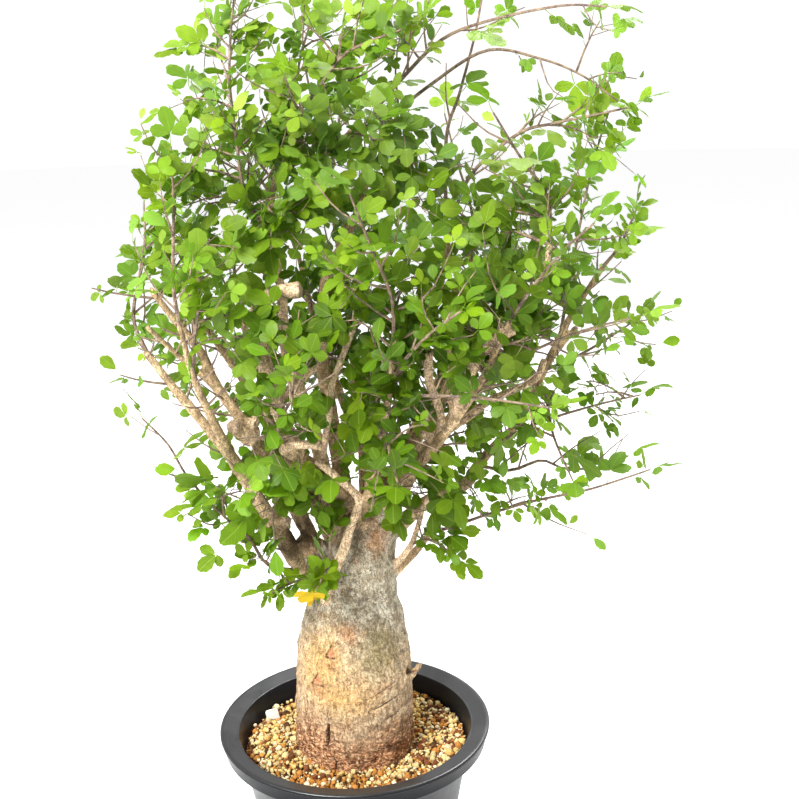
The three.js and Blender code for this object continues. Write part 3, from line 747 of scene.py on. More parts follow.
def pot_stations(settings):
    """Radius and height of each ring, from the base up the outside, over the rim and down to the floor."""
    height = settings.height / MM
    rim = settings.rim_radius / MM
    bead = settings.bead / MM
    ring = height - RING_DROP
    foot = height - SKIRT_DEPTH
    wall = inside_radius(ring - 3, height) + POT_WALL
    return [
        *arc(POT_BASE - 3, 3, 3, -80, -8, 6),
        (lerp(POT_BASE, wall, 0.5), lerp(3, ring - 3, 0.5)),
        (wall - 0.4, ring - 5),
        (wall + 1.2, ring - 3.1),
        (rim - 5.4, height - 4.0),
        (rim - 4.2, height - 5.2),
        (rim - 6.4, foot + 1.2),
        *arc(rim - 5.3, foot + 1.2, 1.2, -180, 0, 7),
        (rim - 1.3, height - 5.4),
        (rim - 1.0, height - 4.6),
        *arc(rim - bead, height - bead - 0.35, bead, -70, 78, 9),
        (rim - 4.4, height - 0.5),
        (RING_INNER + 2.4, ring + 0.35),
        *arc(RING_INNER + 0.7, ring - 0.55, 0.9, 75, 180, 5),
        (inside_radius(ring - 4, height), ring - 4),
        (inside_radius(SOIL_HEIGHT, height), SOIL_HEIGHT),
        (inside_radius(POT_FLOOR, height), POT_FLOOR),
    ]


def turn_pot(settings):
    """Extrudes a disc ring by ring along the stations. The last ring stays as the inner floor."""
    stations = [(radius * MM, up * MM) for radius, up in pot_stations(settings)]
    radius, up = stations[0]
    bpy.ops.object.select_all(action="DESELECT")
    bpy.ops.mesh.primitive_circle_add(
        vertices=settings.sides, radius=radius, fill_type="NGON", location=(0, 0, 0)
    )
    pot = bpy.context.object
    edit_all()
    for next_radius, next_up in stations[1:]:
        bpy.ops.mesh.extrude_region_move(TRANSFORM_OT_translate={"value": (0, 0, next_up - up)})
        grow = next_radius / radius
        bpy.ops.transform.resize(value=(grow, grow, 1), center_override=(0, 0, next_up))
        radius, up = next_radius, next_up
    bpy.ops.mesh.select_all(action="SELECT")
    bpy.ops.mesh.normals_make_consistent(inside=False)
    bpy.ops.object.mode_set(mode="OBJECT")
    return pot


def cut_drain_holes(pot):
    for i in range(DRAIN_HOLES):
        angle = i * 2 * math.pi / DRAIN_HOLES
        bpy.ops.object.select_all(action="DESELECT")
        bpy.ops.mesh.primitive_cylinder_add(
            vertices=32,
            radius=DRAIN_RADIUS * MM,
            depth=4 * POT_FLOOR * MM,
            location=(DRAIN_CIRCLE * MM * math.cos(angle), DRAIN_CIRCLE * MM * math.sin(angle), 0),
        )
        drill = bpy.context.object
        apply_modifier(pot, "BOOLEAN", operation="DIFFERENCE", object=drill, solver="EXACT")
        bpy.data.objects.remove(drill)


def pot_plastic(settings):
    """Black plastic with a film of dust. It shines most on the ring and least on its steep sides."""
    shades = Shades("black_moulded_plastic")
    place = shades.place()
    cloudy = shades.noise(place, 26, detail=5, roughness=0.6)
    specks = shades.noise(place, 700, detail=2)
    rising = shades.node("SeparateXYZ", {0: shades.node("NewGeometry").outputs["Normal"]}).outputs["Z"]
    film = shades.times(shades.ramp(rising, 0.2, 0.95, 0, 0.05), shades.ramp(cloudy, 0.3, 0.75, 0.3, 1))
    dots = shades.times(shades.ramp(specks, 0.69, 0.76), shades.ramp(rising, 0.0, 0.8, 0.02, 0.3))
    colour = shades.mix(shades.maths("MAXIMUM", film, dots), settings.plastic, settings.dust)
    rough = shades.ramp(cloudy, 0.3, 0.8, settings.roughness - 0.05, settings.roughness + 0.17)
    grain = shades.noise(place, 900, detail=2)
    lying = shades.ramp(rising, 0.3, 0.92, 0.0, 0.75)
    inner = shades.ramp(rising, -0.05, 0.15, 0.02, 0.16)
    under = shades.ramp(rising, -0.2, -0.7, 0.0, 0.4)
    values = {
        "Base Color": colour,
        "Roughness": rough,
        "Specular IOR Level": shades.maths("ADD", inner, shades.maths("ADD", lying, under)),
        "Normal": shades.bump(grain, 0.12, 0.0002),
    }
    return shades.coat(values)


class COMMIPHORA_OT_pot(bpy.types.Operator):
    """Turn the black pot with its rolled rim, and cut its drainage holes"""

    bl_idname = "commiphora.pot"
    bl_label = "Pot"
    bl_options = {"REGISTER", "UNDO"}

    def execute(self, context):
        settings = context.scene.commiphora_pot
        pot = turn_pot(settings)
        cut_drain_holes(pot)
        smooth_below(pot, 38)
        settle(pot)
        set_materials(pot, pot_plastic(settings))
        hand_over(pot, "nursery_pot", "pot_plastic", "pot")
        return {"FINISHED"}


# Granular mix


MOST_PILED = 4.2  # how far a grain's middle may lie above the bed
GRAIN_SEED = 11
GRAIN_SIZES = (0.62, 0.75, 0.85, 0.95, 1.0, 1.1, 1.2, 1.38)  # of the mean
GRAIN_TRIES = 4  # places that are tried for a grain: it takes the lowest
GRAIN_SUNK = 0.15  # how high a grain's middle lies over the bed, of its radius
GRAIN_OVERLAP = 0.78  # grains aren't round, so their round forms may overlap: of the squared distance
GRAIN_SETTLE = 0.86  # and how much of the rise is left when they settle
GRAIN_SHRINK = 0.9995  # the mean shrinks so much each time that a grain finds no place
NEAR_TRUNK = 80  # within this radius the places are counted from the trunk's middle
HEAP = 4.5  # how much higher the bed lies against the wall, from HEAP_START to HEAP_END
HEAP_START = 86
HEAP_END = 108
BED_SLOPE = 0.012
LABEL_MIDDLE = -88  # where the label stands in the bed: its middle, half its width and its sides
LABEL_ROOM = 9
LABEL_SIDES = (42, 53)


def bed_height(x, y):
    """The top of the bed, as the solid has it on the whole, heaped a little against the wall."""
    heap = HEAP * float(smooth_step(HEAP_START, HEAP_END, math.hypot(x, y)))
    return SOIL_HEIGHT + BED_SLOPE * (y - x) + heap


def in_label(x, y):
    return abs(x - LABEL_MIDDLE) < LABEL_ROOM and LABEL_SIDES[0] < y < LABEL_SIDES[1]


def settled_grains(settings, pot_height):
    """Drops grains one by one: each comes to rest on the bed or on the grains under it."""
    draw = random.Random(GRAIN_SEED)
    mean = settings.grain / MM
    cell = 4 * mean
    room = inside_radius(SOIL_HEIGHT + 2, pot_height)
    middle = trunk_middle(SOIL_HEIGHT)
    stem = float(trunk_radius(SOIL_HEIGHT))
    grid = {}
    grains = []
    while len(grains) < settings.grains:
        radius = mean * draw.choice(GRAIN_SIZES)
        best = None
        for _ in range(GRAIN_TRIES):
            angle = draw.uniform(0, 2 * math.pi)
            reach = math.sqrt(draw.uniform((stem * 0.97) ** 2, (room - radius) ** 2))
            x = reach * math.cos(angle) + middle[0] * (reach < NEAR_TRUNK)
            y = reach * math.sin(angle) + middle[1] * (reach < NEAR_TRUNK)
            if in_label(x, y) or math.hypot(x, y) > room - radius:
                continue
            height = bed_height(x, y) + GRAIN_SUNK * radius
            key = (int(x // cell), int(y // cell))
            for i in (-1, 0, 1):
                for j in (-1, 0, 1):
                    for ox, oy, oz, other in grid.get((key[0] + i, key[1] + j), ()):
                        apart = (x - ox) ** 2 + (y - oy) ** 2
                        touch = (radius + other) ** 2 * GRAIN_OVERLAP
                        if apart < touch:
                            height = max(height, oz + GRAIN_SETTLE * math.sqrt(touch - apart))
            if best is None or height < best[2]:
                best = (x, y, height, radius, key)
        if best is None or best[2] > bed_height(best[0], best[1]) + MOST_PILED:
            mean *= GRAIN_SHRINK
            continue
        x, y, height, radius, key = best
        grid.setdefault(key, []).append((x, y, height, radius))
        grains.append((x, y, height, radius))
    return grains


def grain_form():
    """A grain of unit radius: a cube rounded to 24 faces."""
    bpy.ops.object.select_all(action="DESELECT")
    bpy.ops.mesh.primitive_cube_add(size=1.3)
    form = bpy.context.object
    apply_modifier(form, "SUBSURF", levels=1, render_levels=1)
    places = np.array([vertex.co for vertex in form.data.vertices])
    places /= np.linalg.norm(places, axis=1).mean()
    faces = np.array([list(face.vertices) for face in form.data.polygons])
    bpy.data.objects.remove(form)
    return places, faces


def grain_colour(settings, draw, x, y):
    """A grain's colour: pale on the whole, with damp patches of dark, orange and yellow ones."""
    patch = noise.noise(Vector((x / 26, y / 26, 3.1)))
    right = smooth_step(30, 62, x) * (1 - 0.6 * smooth_step(84, 104, math.hypot(x, y)))
    near_left = math.exp(-(((x + 62) / 26) ** 2) - ((y + 52) / 20) ** 2)
    damp = 0.9 * noise.noise(Vector((x / 19, y / 19, 9.7))) + 0.7 * right + 0.7 * near_left
    share = draw.random()
    near = smooth_step(40, 90, -y)
    if share < 0.07 + 0.34 * max(damp, 0):
        colour = settings.lava if draw.random() < 0.6 else settings.humus
    elif share < 0.13 + 0.34 * max(-patch, 0) + 0.50 * max(damp, 0) + 0.6 * near:
        colour = settings.ochre
    elif share < 0.50:
        colour = settings.straw
    elif share < 0.89:
        colour = settings.pumice
    else:
        colour = settings.chalk
    tone = draw.uniform(0.7, 1.15)
    return np.array([min(channel * tone, 1) for channel in colour])


def make_gravel(settings, pot_height):
    draw = random.Random(GRAIN_SEED + 1)
    form, form_faces = grain_form()
    places = []
    faces = []
    colours = []
    for x, y, height, radius in settled_grains(settings, pot_height):
        turn = np.array(Matrix.Rotation(draw.uniform(0, 6.3), 3, (draw.random(), draw.random(), 0.3)))
        stretch = [draw.uniform(0.82, 1.2), draw.uniform(0.82, 1.2), draw.uniform(0.75, 1.0)]
        knobs = 1 + np.array([draw.uniform(-0.22, 0.2) for _ in form])[:, None]
        lump = (form * knobs * stretch) @ turn.T
        faces.append(form_faces + len(places) * len(form))
        places.append(lump * radius + (x, y, height))
        # Painted shade: each grain darkens towards a dark ochre on its underside, as the shade in the gaps
        # between grains. clean is the share of the grain above that painted shade.
        clean = smooth_step(-0.6, 0.55, lump[:, 2])[:, None]
        tint = lerp(0.6 * np.array(settings.ochre), grain_colour(settings, draw, x, y), clean)
        colours.append(np.hstack([tint, np.ones((len(form), 1))]))
    mesh = bpy.data.meshes.new("loose_grains")
    mesh.from_pydata(np.vstack(places) * MM, [], np.vstack(faces))
    paint(mesh, "grain_tint", np.vstack(colours))
    return linked(mesh)


def grain_stone(settings):
    """Dry porous stone that takes each grain's own colour."""
    shades = Shades("porous_grains")
    place = shades.place()
    tint = shades.node("VertexColor", layer_name="grain_tint").outputs[0]
    pores = shades.noise(place, 900, detail=3, roughness=0.7)
    colour = shades.mix(shades.ramp(pores, 0.3, 0.5, 0.30, 0.0), tint, settings.ochre)
    colour = shades.brighten(colour, shades.ramp(pores, 0.32, 0.62, 0.62, 1.12))
    values = {
        "Base Color": colour,
        "Roughness": 0.92,
        "Specular IOR Level": 0.25,
        "Normal": shades.bump(pores, 0.5, 0.0005),
    }
    return shades.coat(values)


def bed_stone(settings):
    """The bed under the loose grains: the same mix, damp and in shade."""
    shades = Shades("damp_shaded_bed")
    place = shades.place()
    values = {"Vector": place, "Scale": 210.0}
    grains = shades.node("TexVoronoi", values).outputs["Color"]
    gaps = shades.node("TexVoronoi", values, feature="DISTANCE_TO_EDGE").outputs["Distance"]
    share = shades.node("SeparateColor", {0: grains}).outputs[0]
    warm = shades.mix(share, settings.lava, settings.ochre)
    # Painted shade: the gaps between the bed's own grains are dark red-brown, as the shade under the loose
    # grains
    colour = shades.mix(shades.ramp(gaps, 0.0, 0.1), settings.lava, warm)
    values = {
        "Base Color": colour,
        "Roughness": 0.9,
        "Normal": shades.bump(shades.ramp(gaps, 0.0, 0.2), 0.9, 0.002),
    }
    return shades.coat(values)


class COMMIPHORA_OT_gravel(bpy.types.Operator):
    """Cover the bed in the pot with loose grains of pumice and lava"""

    bl_idname = "commiphora.gravel"
    bl_label = "Granular mix"
    bl_options = {"REGISTER", "UNDO"}

    def execute(self, context):
        settings = context.scene.commiphora_gravel
        gravel = make_gravel(settings, context.scene.commiphora_pot.height / MM)
        smooth_below(gravel, 50)
        set_materials(gravel, grain_stone(settings))
        hand_over(gravel, "loose_grains", "granular_mix")
        set_materials(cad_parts["substrate"], bed_stone(settings))
        return {"FINISHED"}


# Plant label


LABEL_FOOT = (-80, 50, 149)
LABEL_LEAN = -0.2
LABEL_TURN = 0.2
LABEL_POINT = 0.22  # the pointed part, of its length
LABEL_POINT_WIDTH = 0.25
LABEL_GRIME = (0.36, 0.25, 0.15)


def cut_label(settings):
    """A plate with rounded top corners and a pointed foot."""
    bpy.ops.object.select_all(action="DESELECT")
    bpy.ops.mesh.primitive_cube_add(size=1, location=(0, 0, settings.length / 2))
    label = bpy.context.object
    label.scale = (settings.width, settings.thickness, settings.length)
    settle(label)
    edit_all()
    shoulder = settings.length * LABEL_POINT
    bpy.ops.mesh.bisect(plane_co=(0, 0, shoulder), plane_no=(0, 0, 1))
    bpy.ops.mesh.select_all(action="DESELECT")
    bpy.ops.object.mode_set(mode="OBJECT")
    for vertex in label.data.vertices:
        if vertex.co.z < shoulder / 2:
            vertex.co.x *= LABEL_POINT_WIDTH
    for edge in label.data.edges:
        ends = [label.data.vertices[i].co for i in edge.vertices]
        across = abs(ends[0].y - ends[1].y) > settings.thickness / 2
        edge.select = across and min(end.z for end in ends) > settings.length * 0.9
    bpy.ops.object.mode_set(mode="EDIT")
    bpy.ops.mesh.select_mode(type="EDGE")
    bpy.ops.mesh.bevel(offset=0.0016, segments=4)
    bpy.ops.object.mode_set(mode="OBJECT")
    apply_modifier(label, "BEVEL", width=0.00018, segments=2, limit_method="ANGLE")
    lean = Matrix.Rotation(LABEL_LEAN, 4, "Y")
    turn = Matrix.Rotation(LABEL_TURN, 4, "Z")
    label.data.transform(Matrix.Translation(Vector(LABEL_FOOT) * MM) @ turn @ lean)
    return label


def label_plastic(settings):
    """White plastic, scuffed, and grimy where it stands in the mix."""
    shades = Shades("white_label_plastic")
    place = shades.place()
    scuffs = shades.noise(place, 240, detail=6, roughness=0.7)
    height = shades.node("SeparateXYZ", {0: place}).outputs["Z"]
    soil = shades.ramp(height, 0.196, 0.186, 0, 0.55)
    grime = shades.times(shades.ramp(scuffs, 0.42, 0.7), shades.maths("ADD", soil, 0.12))
    values = {
        "Base Color": shades.mix(grime, settings.plastic, LABEL_GRIME),
        "Roughness": shades.ramp(scuffs, 0.3, 0.7, 0.38, 0.6),
        "Subsurface Weight": 0.15,
        "Subsurface Radius": (0.002, 0.002, 0.002),
        "Subsurface Scale": 0.3,
        "Normal": shades.bump(scuffs, 0.1, 0.0002),
    }
    return shades.coat(values)


class COMMIPHORA_OT_label(bpy.types.Operator):
    """Cut the blank plant label that stands in the mix"""

    bl_idname = "commiphora.label"
    bl_label = "Plant label"
    bl_options = {"REGISTER", "UNDO"}

    def execute(self, context):
        settings = context.scene.commiphora_label
        label = cut_label(settings)
        smooth_below(label, 40)
        set_materials(label, label_plastic(settings))
        hand_over(label, "blank_label", "label_plastic", "plant_label")
        return {"FINISHED"}


# Bark


COLLAR = 0.32  # how much wider a limb is where it leaves its parent
COLLAR_LENGTH = 9.0
MOST_WOOD_FACES = 172_000

# Marks on the trunk: the angle round it in degrees, from +X, and the height. Its front is at -90.
SCARS = [
    # angle, height, half width, half height
    (-113.8, 313.6, 6.0, 6.8),
    (-128.0, 283.5, 8.5, 6.6),
    (20.0, 270.0, 7.0, 9.0),
    (95.0, 300.0, 6.0, 8.0),
    (150.0, 250.0, 7.0, 6.0),
]
CRACKS = [
    # widest half width, depth, and the line it follows
    (2.3, 4.5, [(-115.2, 241), (-115.6, 229), (-116.4, 216)]),
    (0.9, 2.0, [(-149, 266), (-143, 259), (-142, 250), (-143.5, 241)]),
    (1.1, 2.0, [(-110.5, 206), (-107, 200), (-108, 196), (-105.5, 190)]),
    (2.0, 3.2, [(-153, 209), (-149, 203), (-144, 194)]),
    (0.8, 1.1, [(-115.5, 256), (-117, 250), (-115.5, 243)]),
    (1.0, 1.0, [(-78, 252.5), (-55, 259), (-33, 265)]),
    (0.9, 0.8, [(-70, 238), (-48, 243), (-28, 250)]),
    (0.9, 0.8, [(-88, 262), (-62, 272), (-40, 281)]),
    (0.9, 1.2, [(70, 262), (100, 255), (128, 259)]),
    (1.0, 1.4, [(30, 224), (36, 236), (34, 250)]),
    (1.4, 2.4, [(165, 214), (168, 228), (166, 240)]),
]
KNOTS = [
    # angle, height, radius, depth
    (-12, 314, 4.0, 5.0),
    (-22, 278, 6.0, 2.0),
    (118, 330, 5.0, 4.0),
]
RING_MARKS = [(-90.3, 251, 6.4), (60, 280, 6.0)]  # angle, height, radius
# The flake of bark that stands off: radius at the root and the tip, and the points passed through
FLAKE = (4.6, 1.2, [(50, -17, 262), (57, -19, 272), (64, -19, 279), (69, -17, 283)])
# Patches of colour: angle, height, and how far each reaches round the trunk and up it
GOLDEN_PATCHES = [(-124, 300, 34, 40), (-104, 268, 40, 20), (66, 285, 30, 34), (170, 262, 22, 30)]
MOSS_PATCHES = [(-64, 306, 30, 20), (-58, 318, 22, 18), (40, 320, 30, 24), (140, 300, 24, 24)]
# Painted shade in the crotches between the limbs, and rust-coloured spots: x, y, z and how far each reaches
SHADE_SPOTS = [
    (-27, -34, 394, 21), (-42, -22, 424, 27), (-10, -22, 445, 26), (9, -8, 472, 20), (-52, -22, 412, 18),
    (24, -34, 436, 15), (-37, -36, 378, 14), (-30, 5, 440, 26),
]
RUST_SPOTS = [
    (-80, 0, 444, 15), (32, -30, 418, 18), (45, -8, 475, 15), (-54, -12, 423, 11), (-72, -5, 484, 11),
    (81, -8, 494, 15), (5, -38, 401, 9), (-33, -32, 400, 11), (-47, -20, 535, 13), (0, -45, 330, 12),
]
FAR = 1e3  # farther than any mark reaches
SHOULDER_END = 0.8  # the first limb counts as trunk up to this share of it
FOOT_TOP = 264  # the mean height at which the foot's red bark begins, and how far down it is full
FOOT_FADE = 66
CUT_END = 3.0  # a stub's end shows its cut this far down
# Colours of small marks in the bark. The fold colours are a painted shadow and a painted highlight, the
# crease and crotch colours are painted shade, and the split colour is partly painted shade in the grooves of
# cracks, knots, scars and rings
FOLD_SHADOW = (0.085, 0.03, 0.01)
FOLD_HIGHLIGHT = (0.98, 0.62, 0.37)
DARK_SPECKS = (0.115, 0.075, 0.042)
CREASE_SHADE = (0.12, 0.065, 0.035)
CROTCH_SHADE = (0.05, 0.028, 0.014)
SCAR_DARK = (0.26, 0.09, 0.035)
SCAR_PALE = (0.56, 0.27, 0.14)
SPLIT_DARK_AND_SHADE = (0.04, 0.02, 0.011)


def collared_radius(root, tip, shares, length):
    """A limb's radius, with the collar where it leaves its parent."""
    collar = 1 + COLLAR * np.exp(-shares * length / COLLAR_LENGTH)
    return limb_radius(root, tip, shares) * collar


def rod(places, radii, roundness=3):
    """A round rod along these places, made as a bevelled curve and turned into a mesh."""
    line = bpy.data.curves.new("rod", "CURVE")
    line.dimensions = "3D"
    line.bevel_depth = 1.0
    line.bevel_resolution = roundness
    line.use_fill_caps = True
    spline = line.splines.new("POLY")
    spline.points.add(len(places) - 1)
    for point, place, radius in zip(spline.points, places, radii):
        point.co = (*(place * MM), 1)
        point.radius = radius * MM
    select_only(linked(line))
    bpy.ops.object.convert(target="MESH")
    return bpy.context.object


def grow_wood(settings):
    """The trunk, limbs and stubs as rods, grown together into one closed surface."""
    shares = np.linspace(0, 1, 61)
    middles = TRUNK_CURVE.points(shares)
    rods = [rod(middles, trunk_radius(middles[:, 2]), roundness=24)]
    flake_root, flake_tip, flake_route = FLAKE
    limbs = [(root, tip, curve) for root, tip, _, curve in WOOD]
    for root, tip, curve in [*limbs, (flake_root, flake_tip, Curve(flake_route))]:
        length = curve.length()
        shares = np.linspace(0, 1, max(6, round(length / 5)))
        rods.append(rod(curve.points(shares), collared_radius(root, tip, shares, length)))
    wood = joined(rods, "bark")
    apply_modifier(wood, "REMESH", mode="VOXEL", voxel_size=settings.voxel)
    apply_modifier(wood, "SMOOTH", factor=0.5, iterations=5)
    return wood


class BarkSurvey:
    """Where each point of the bark lies: how far on the trunk, or on which limb and how far along it.

    A limb's tone fades into its neighbour's, while its share and radius are those of the nearest limb.
    """

    def __init__(self, places):
        rows = []
        self.lengths = [curve.length() for _, _, _, curve in WOOD]
        for owner, (root, tip, tone, curve) in enumerate(WOOD):
            steps = np.linspace(0, 1, max(4, round(self.lengths[owner] / 4)))
            stations = zip(steps, limb_radius(root, tip, steps), curve.points(steps))
            rows += [(owner, tone, *station) for station in stations]
        owners, tones, shares, radii, middles = zip(*rows)
        tree = tree_of(middles)
        near = np.empty(len(places), int)
        gap = np.empty(len(places))
        tone = np.empty(len(places))
        for i, place in enumerate(places):
            hits = [(apart - radii[found], found) for _, found, apart in tree.find_n(place, 10)]
            gap[i], near[i] = min(hits)
            weights = [math.exp((gap[i] - other) / 1.2) for other, _ in hits]
            total = sum(weight * tones[found] for weight, (_, found) in zip(weights, hits))
            tone[i] = total / sum(weights)
        self.places = places
        self.owner = np.array(owners)[near]
        self.share = np.array(shares)[near]
        self.radius = np.array(radii)[near]
        self.tone = tone
        x, y = trunk_middle(places[:, 2])
        self.angle = np.degrees(np.arctan2(places[:, 1] - y, places[:, 0] - x))
        self.height = places[:, 2]
        self.girth = np.hypot(places[:, 0] - x, places[:, 1] - y)
        trunk_gap = self.girth - trunk_radius(self.height) + 3 * np.maximum(self.height - TRUNK[-1][0], 0)
        shoulder = (self.owner == 0) & (self.share < SHOULDER_END)
        self.trunk = np.where(shoulder, 1, smooth_step(-1.5, 3.5, gap - trunk_gap))

    def from_mark(self, angle, height):
        """Distances round the trunk and up it from a mark. Points on limbs are far from every mark."""
        turn = (self.angle - angle + 180) % 360 - 180
        around = np.radians(turn) * np.maximum(self.girth, 20)
        far = np.where((self.trunk > 0.4) | (self.girth < 62) & (self.height < 350), 0, FAR)
        return around + far, self.height - height

    def from_line(self, line):
        """Distance from a line of marks, and the share of the way along it."""
        nearest = np.full(len(self.places), FAR)
        share = np.zeros(len(self.places))
        for i in range(len(line) - 1):
            around, up = self.from_mark(*line[i])
            turn = math.radians((line[i + 1][0] - line[i][0] + 180) % 360 - 180)
            way = np.array([turn * TRUNK_GIRTH, line[i + 1][1] - line[i][1]])
            t = np.clip((around * way[0] + up * way[1]) / (way @ way), 0, 1)
            apart = np.hypot(around - t * way[0], up - t * way[1])
            closer = apart < nearest
            nearest = np.where(closer, apart, nearest)
            share = np.where(closer, (i + t) / (len(line) - 1), share)
        return nearest, share

    def patches(self, patches):
        """How strongly each point lies in soft patches, from 0 to 1."""
        total = np.zeros(len(self.places))
        for angle, height, around_reach, up_reach in patches:
            around, up = self.from_mark(angle, height)
            total = np.maximum(total, np.exp(-((around / around_reach) ** 2) - (up / up_reach) ** 2))
        return total

    def foot(self):
        """1 at the soil and 0 above the foot's red bark, whose edge rises and falls round the trunk."""
        turn = np.radians(self.angle)
        top = FOOT_TOP + 8 * np.sin(2 * turn + 0.9) + 6 * np.sin(5 * turn)
        return self.trunk * smooth_step(0, 1, (top - self.height) / FOOT_FADE)


def noises(places, *scales):
    """Fractal noise at each place for each scale in millimetres."""
    made = np.empty((len(scales), len(places)))
    for row, scale in zip(made, scales):
        moved = places / scale + scale
        row[:] = [noise.fractal(place, 0.9, 2.1, 3) for place in moved]
    return made


def near_spots(places, spots):
    """How near each place is to the middle of a spot, from 0 to 1."""
    total = np.zeros(len(places))
    for x, y, z, reach in spots:
        apart = np.linalg.norm(places - (x, y, z), axis=1)
        total = np.maximum(total, np.exp(-((apart / reach) ** 2)))
    return total


def bark_marks(survey):
    """Relief of the trunk's scars, cracks, rings and knots, and how far each point is from them.

    A scar's edge is at 1 and a crack's at about 1, and a ring is at 0 millimetres.
    """
    relief = np.zeros(len(survey.places))
    scar, crack, ring = np.full((3, len(survey.places)), 9.0)
    for angle, height, half_width, half_height in SCARS:
        around, up = survey.from_mark(angle, height)
        reach = np.maximum(-up / half_height, 2 * np.abs(around) / half_width + up / half_height)
        edge = np.exp(-(((reach - 1.08) / 0.18) ** 2))
        relief += 1.0 * edge - 1.4 * (1 - smooth_step(0.75, 1.0, reach))
        scar = np.minimum(scar, reach)
    for half_width, depth, line in CRACKS:
        apart, share = survey.from_line(line)
        width = half_width * np.sqrt(np.clip(np.sin(math.pi * share), 0.05, 1))
        groove = 1 - smooth_step(0.45 * width, 1.0 * width, apart)
        lip = np.exp(-(((apart - 1.7 * width) / (0.6 * width)) ** 2))
        relief += 0.35 * lip * min(depth, 1.5) - depth * groove
        crack = np.minimum(crack, apart / (np.maximum(width, 0.45) * min(1, 0.3 + depth / 3)))
    for angle, height, radius in RING_MARKS:
        around, up = survey.from_mark(angle, height)
        reach = np.hypot(around, up * 1.15) / radius
        groove = np.exp(-(((reach - 1) / 0.12) ** 2))
        relief += 0.5 * (reach < 1) * (1 - reach) - 0.7 * groove
        ring = np.minimum(ring, np.abs(reach - 1) * radius)
    for angle, height, radius, depth in KNOTS:
        around, up = survey.from_mark(angle, height)
        reach = np.hypot(around, up) / radius
        relief += 1.2 * np.exp(-(((reach - 1.3) / 0.3) ** 2)) - depth * (1 - smooth_step(0.4, 1.0, reach))
        crack = np.minimum(crack, reach / 0.8)
    return relief, scar, crack, ring


def bark_relief(survey, scale):
    """How far each point moves out along its normal, in millimetres."""
    places = survey.places
    broad, middling, fine = noises(places, 24.0, 7.0, 2.6)
    turn = np.radians(survey.angle)
    lobes = 1.0 * np.cos(2 * turn + 0.6) + 0.7 * np.cos(3 * turn + survey.height / 90)
    foot = survey.foot()
    flat = places * (0.45, 0.45, 1.0)
    waves, ripples = noises(flat, 5.0, 2.4)
    marks = bark_marks(survey)[0]
    trunk = 0.7 * lobes + 1.6 * broad + 0.8 * middling + 0.5 * fine + foot * (1.5 * waves + 0.8 * ripples)
    girth = np.minimum(survey.radius, 14)
    limb = 0.10 * girth * broad + 0.06 * girth * middling + (0.12 + 0.02 * girth) * fine
    return scale * (lerp(limb, trunk, survey.trunk) + marks)


def bark_layers(survey):
    """Three layers of four values for each point, from 0 to 1, which the shader reads as colours.

    The zones are golden, moss, foot and the painted shade in the crotches, the tones are pale, cut, rust
    and trunk, and the marks are how far the nearest scar, crack and ring are.
    """
    _, scar, crack, ring = bark_marks(survey)
    golden = survey.patches(GOLDEN_PATCHES)
    moss = survey.patches(MOSS_PATCHES) * (1 - golden)
    shade = near_spots(survey.places, SHADE_SPOTS)
    stains = [(angle, height - 1.9 * tall, wide, tall) for angle, height, wide, tall in SCARS]
    rust = np.maximum(near_spots(survey.places, RUST_SPOTS), 0.8 * survey.patches(stains))
    left = (1 - survey.share) * np.array(survey.lengths)[survey.owner]
    cut = np.where(survey.owner >= len(LIMBS), 1 - smooth_step(0.0, CUT_END, left), 0)
    return {
        "bark_zones": np.stack([golden, moss, survey.foot(), shade], axis=1),
        "bark_tones": np.stack([survey.tone, cut, rust, survey.trunk], axis=1),
        "bark_marks": np.minimum(np.stack([scar / 2, crack / 4, ring / 4, np.ones(len(scar))], axis=1), 1),
    }


def refine_marks(wood):
    """Halves the faces at scars, cracks, rings and knots, so that their edges stay sharp."""
    _, scar, crack, ring = bark_marks(BarkSurvey(mesh_places(wood.data) / MM))
    marked = (scar < 1.7) | (crack < 3) | (ring < 2.5)
    select_only(wood)
    bpy.ops.object.mode_set(mode="EDIT")
    bpy.ops.mesh.select_mode(type="VERT")
    bpy.ops.mesh.select_all(action="DESELECT")
    bpy.ops.object.mode_set(mode="OBJECT")
    wood.data.vertices.foreach_set("select", marked)
    bpy.ops.object.mode_set(mode="EDIT")
    bpy.ops.mesh.subdivide(number_cuts=1)
    bpy.ops.object.mode_set(mode="OBJECT")


def weather_wood(wood, settings):
    """Moves the bark out and in by its relief and paints the tones on it."""
    refine_marks(wood)
    places = mesh_places(wood.data)
    normals = mesh_places(wood.data, "normal")
    survey = BarkSurvey(places / MM)
    move = bark_relief(survey, settings.relief) * MM
    wood.data.vertices.foreach_set("co", (places + normals * move[:, None]).ravel())
    wood.data.update()
    for name, layer in bark_layers(survey).items():
        paint(wood.data, name, layer)
    wood.data.calc_loop_triangles()
    faces = len(wood.data.loop_triangles)
    if faces > MOST_WOOD_FACES:
        apply_modifier(wood, "DECIMATE", ratio=MOST_WOOD_FACES / faces)


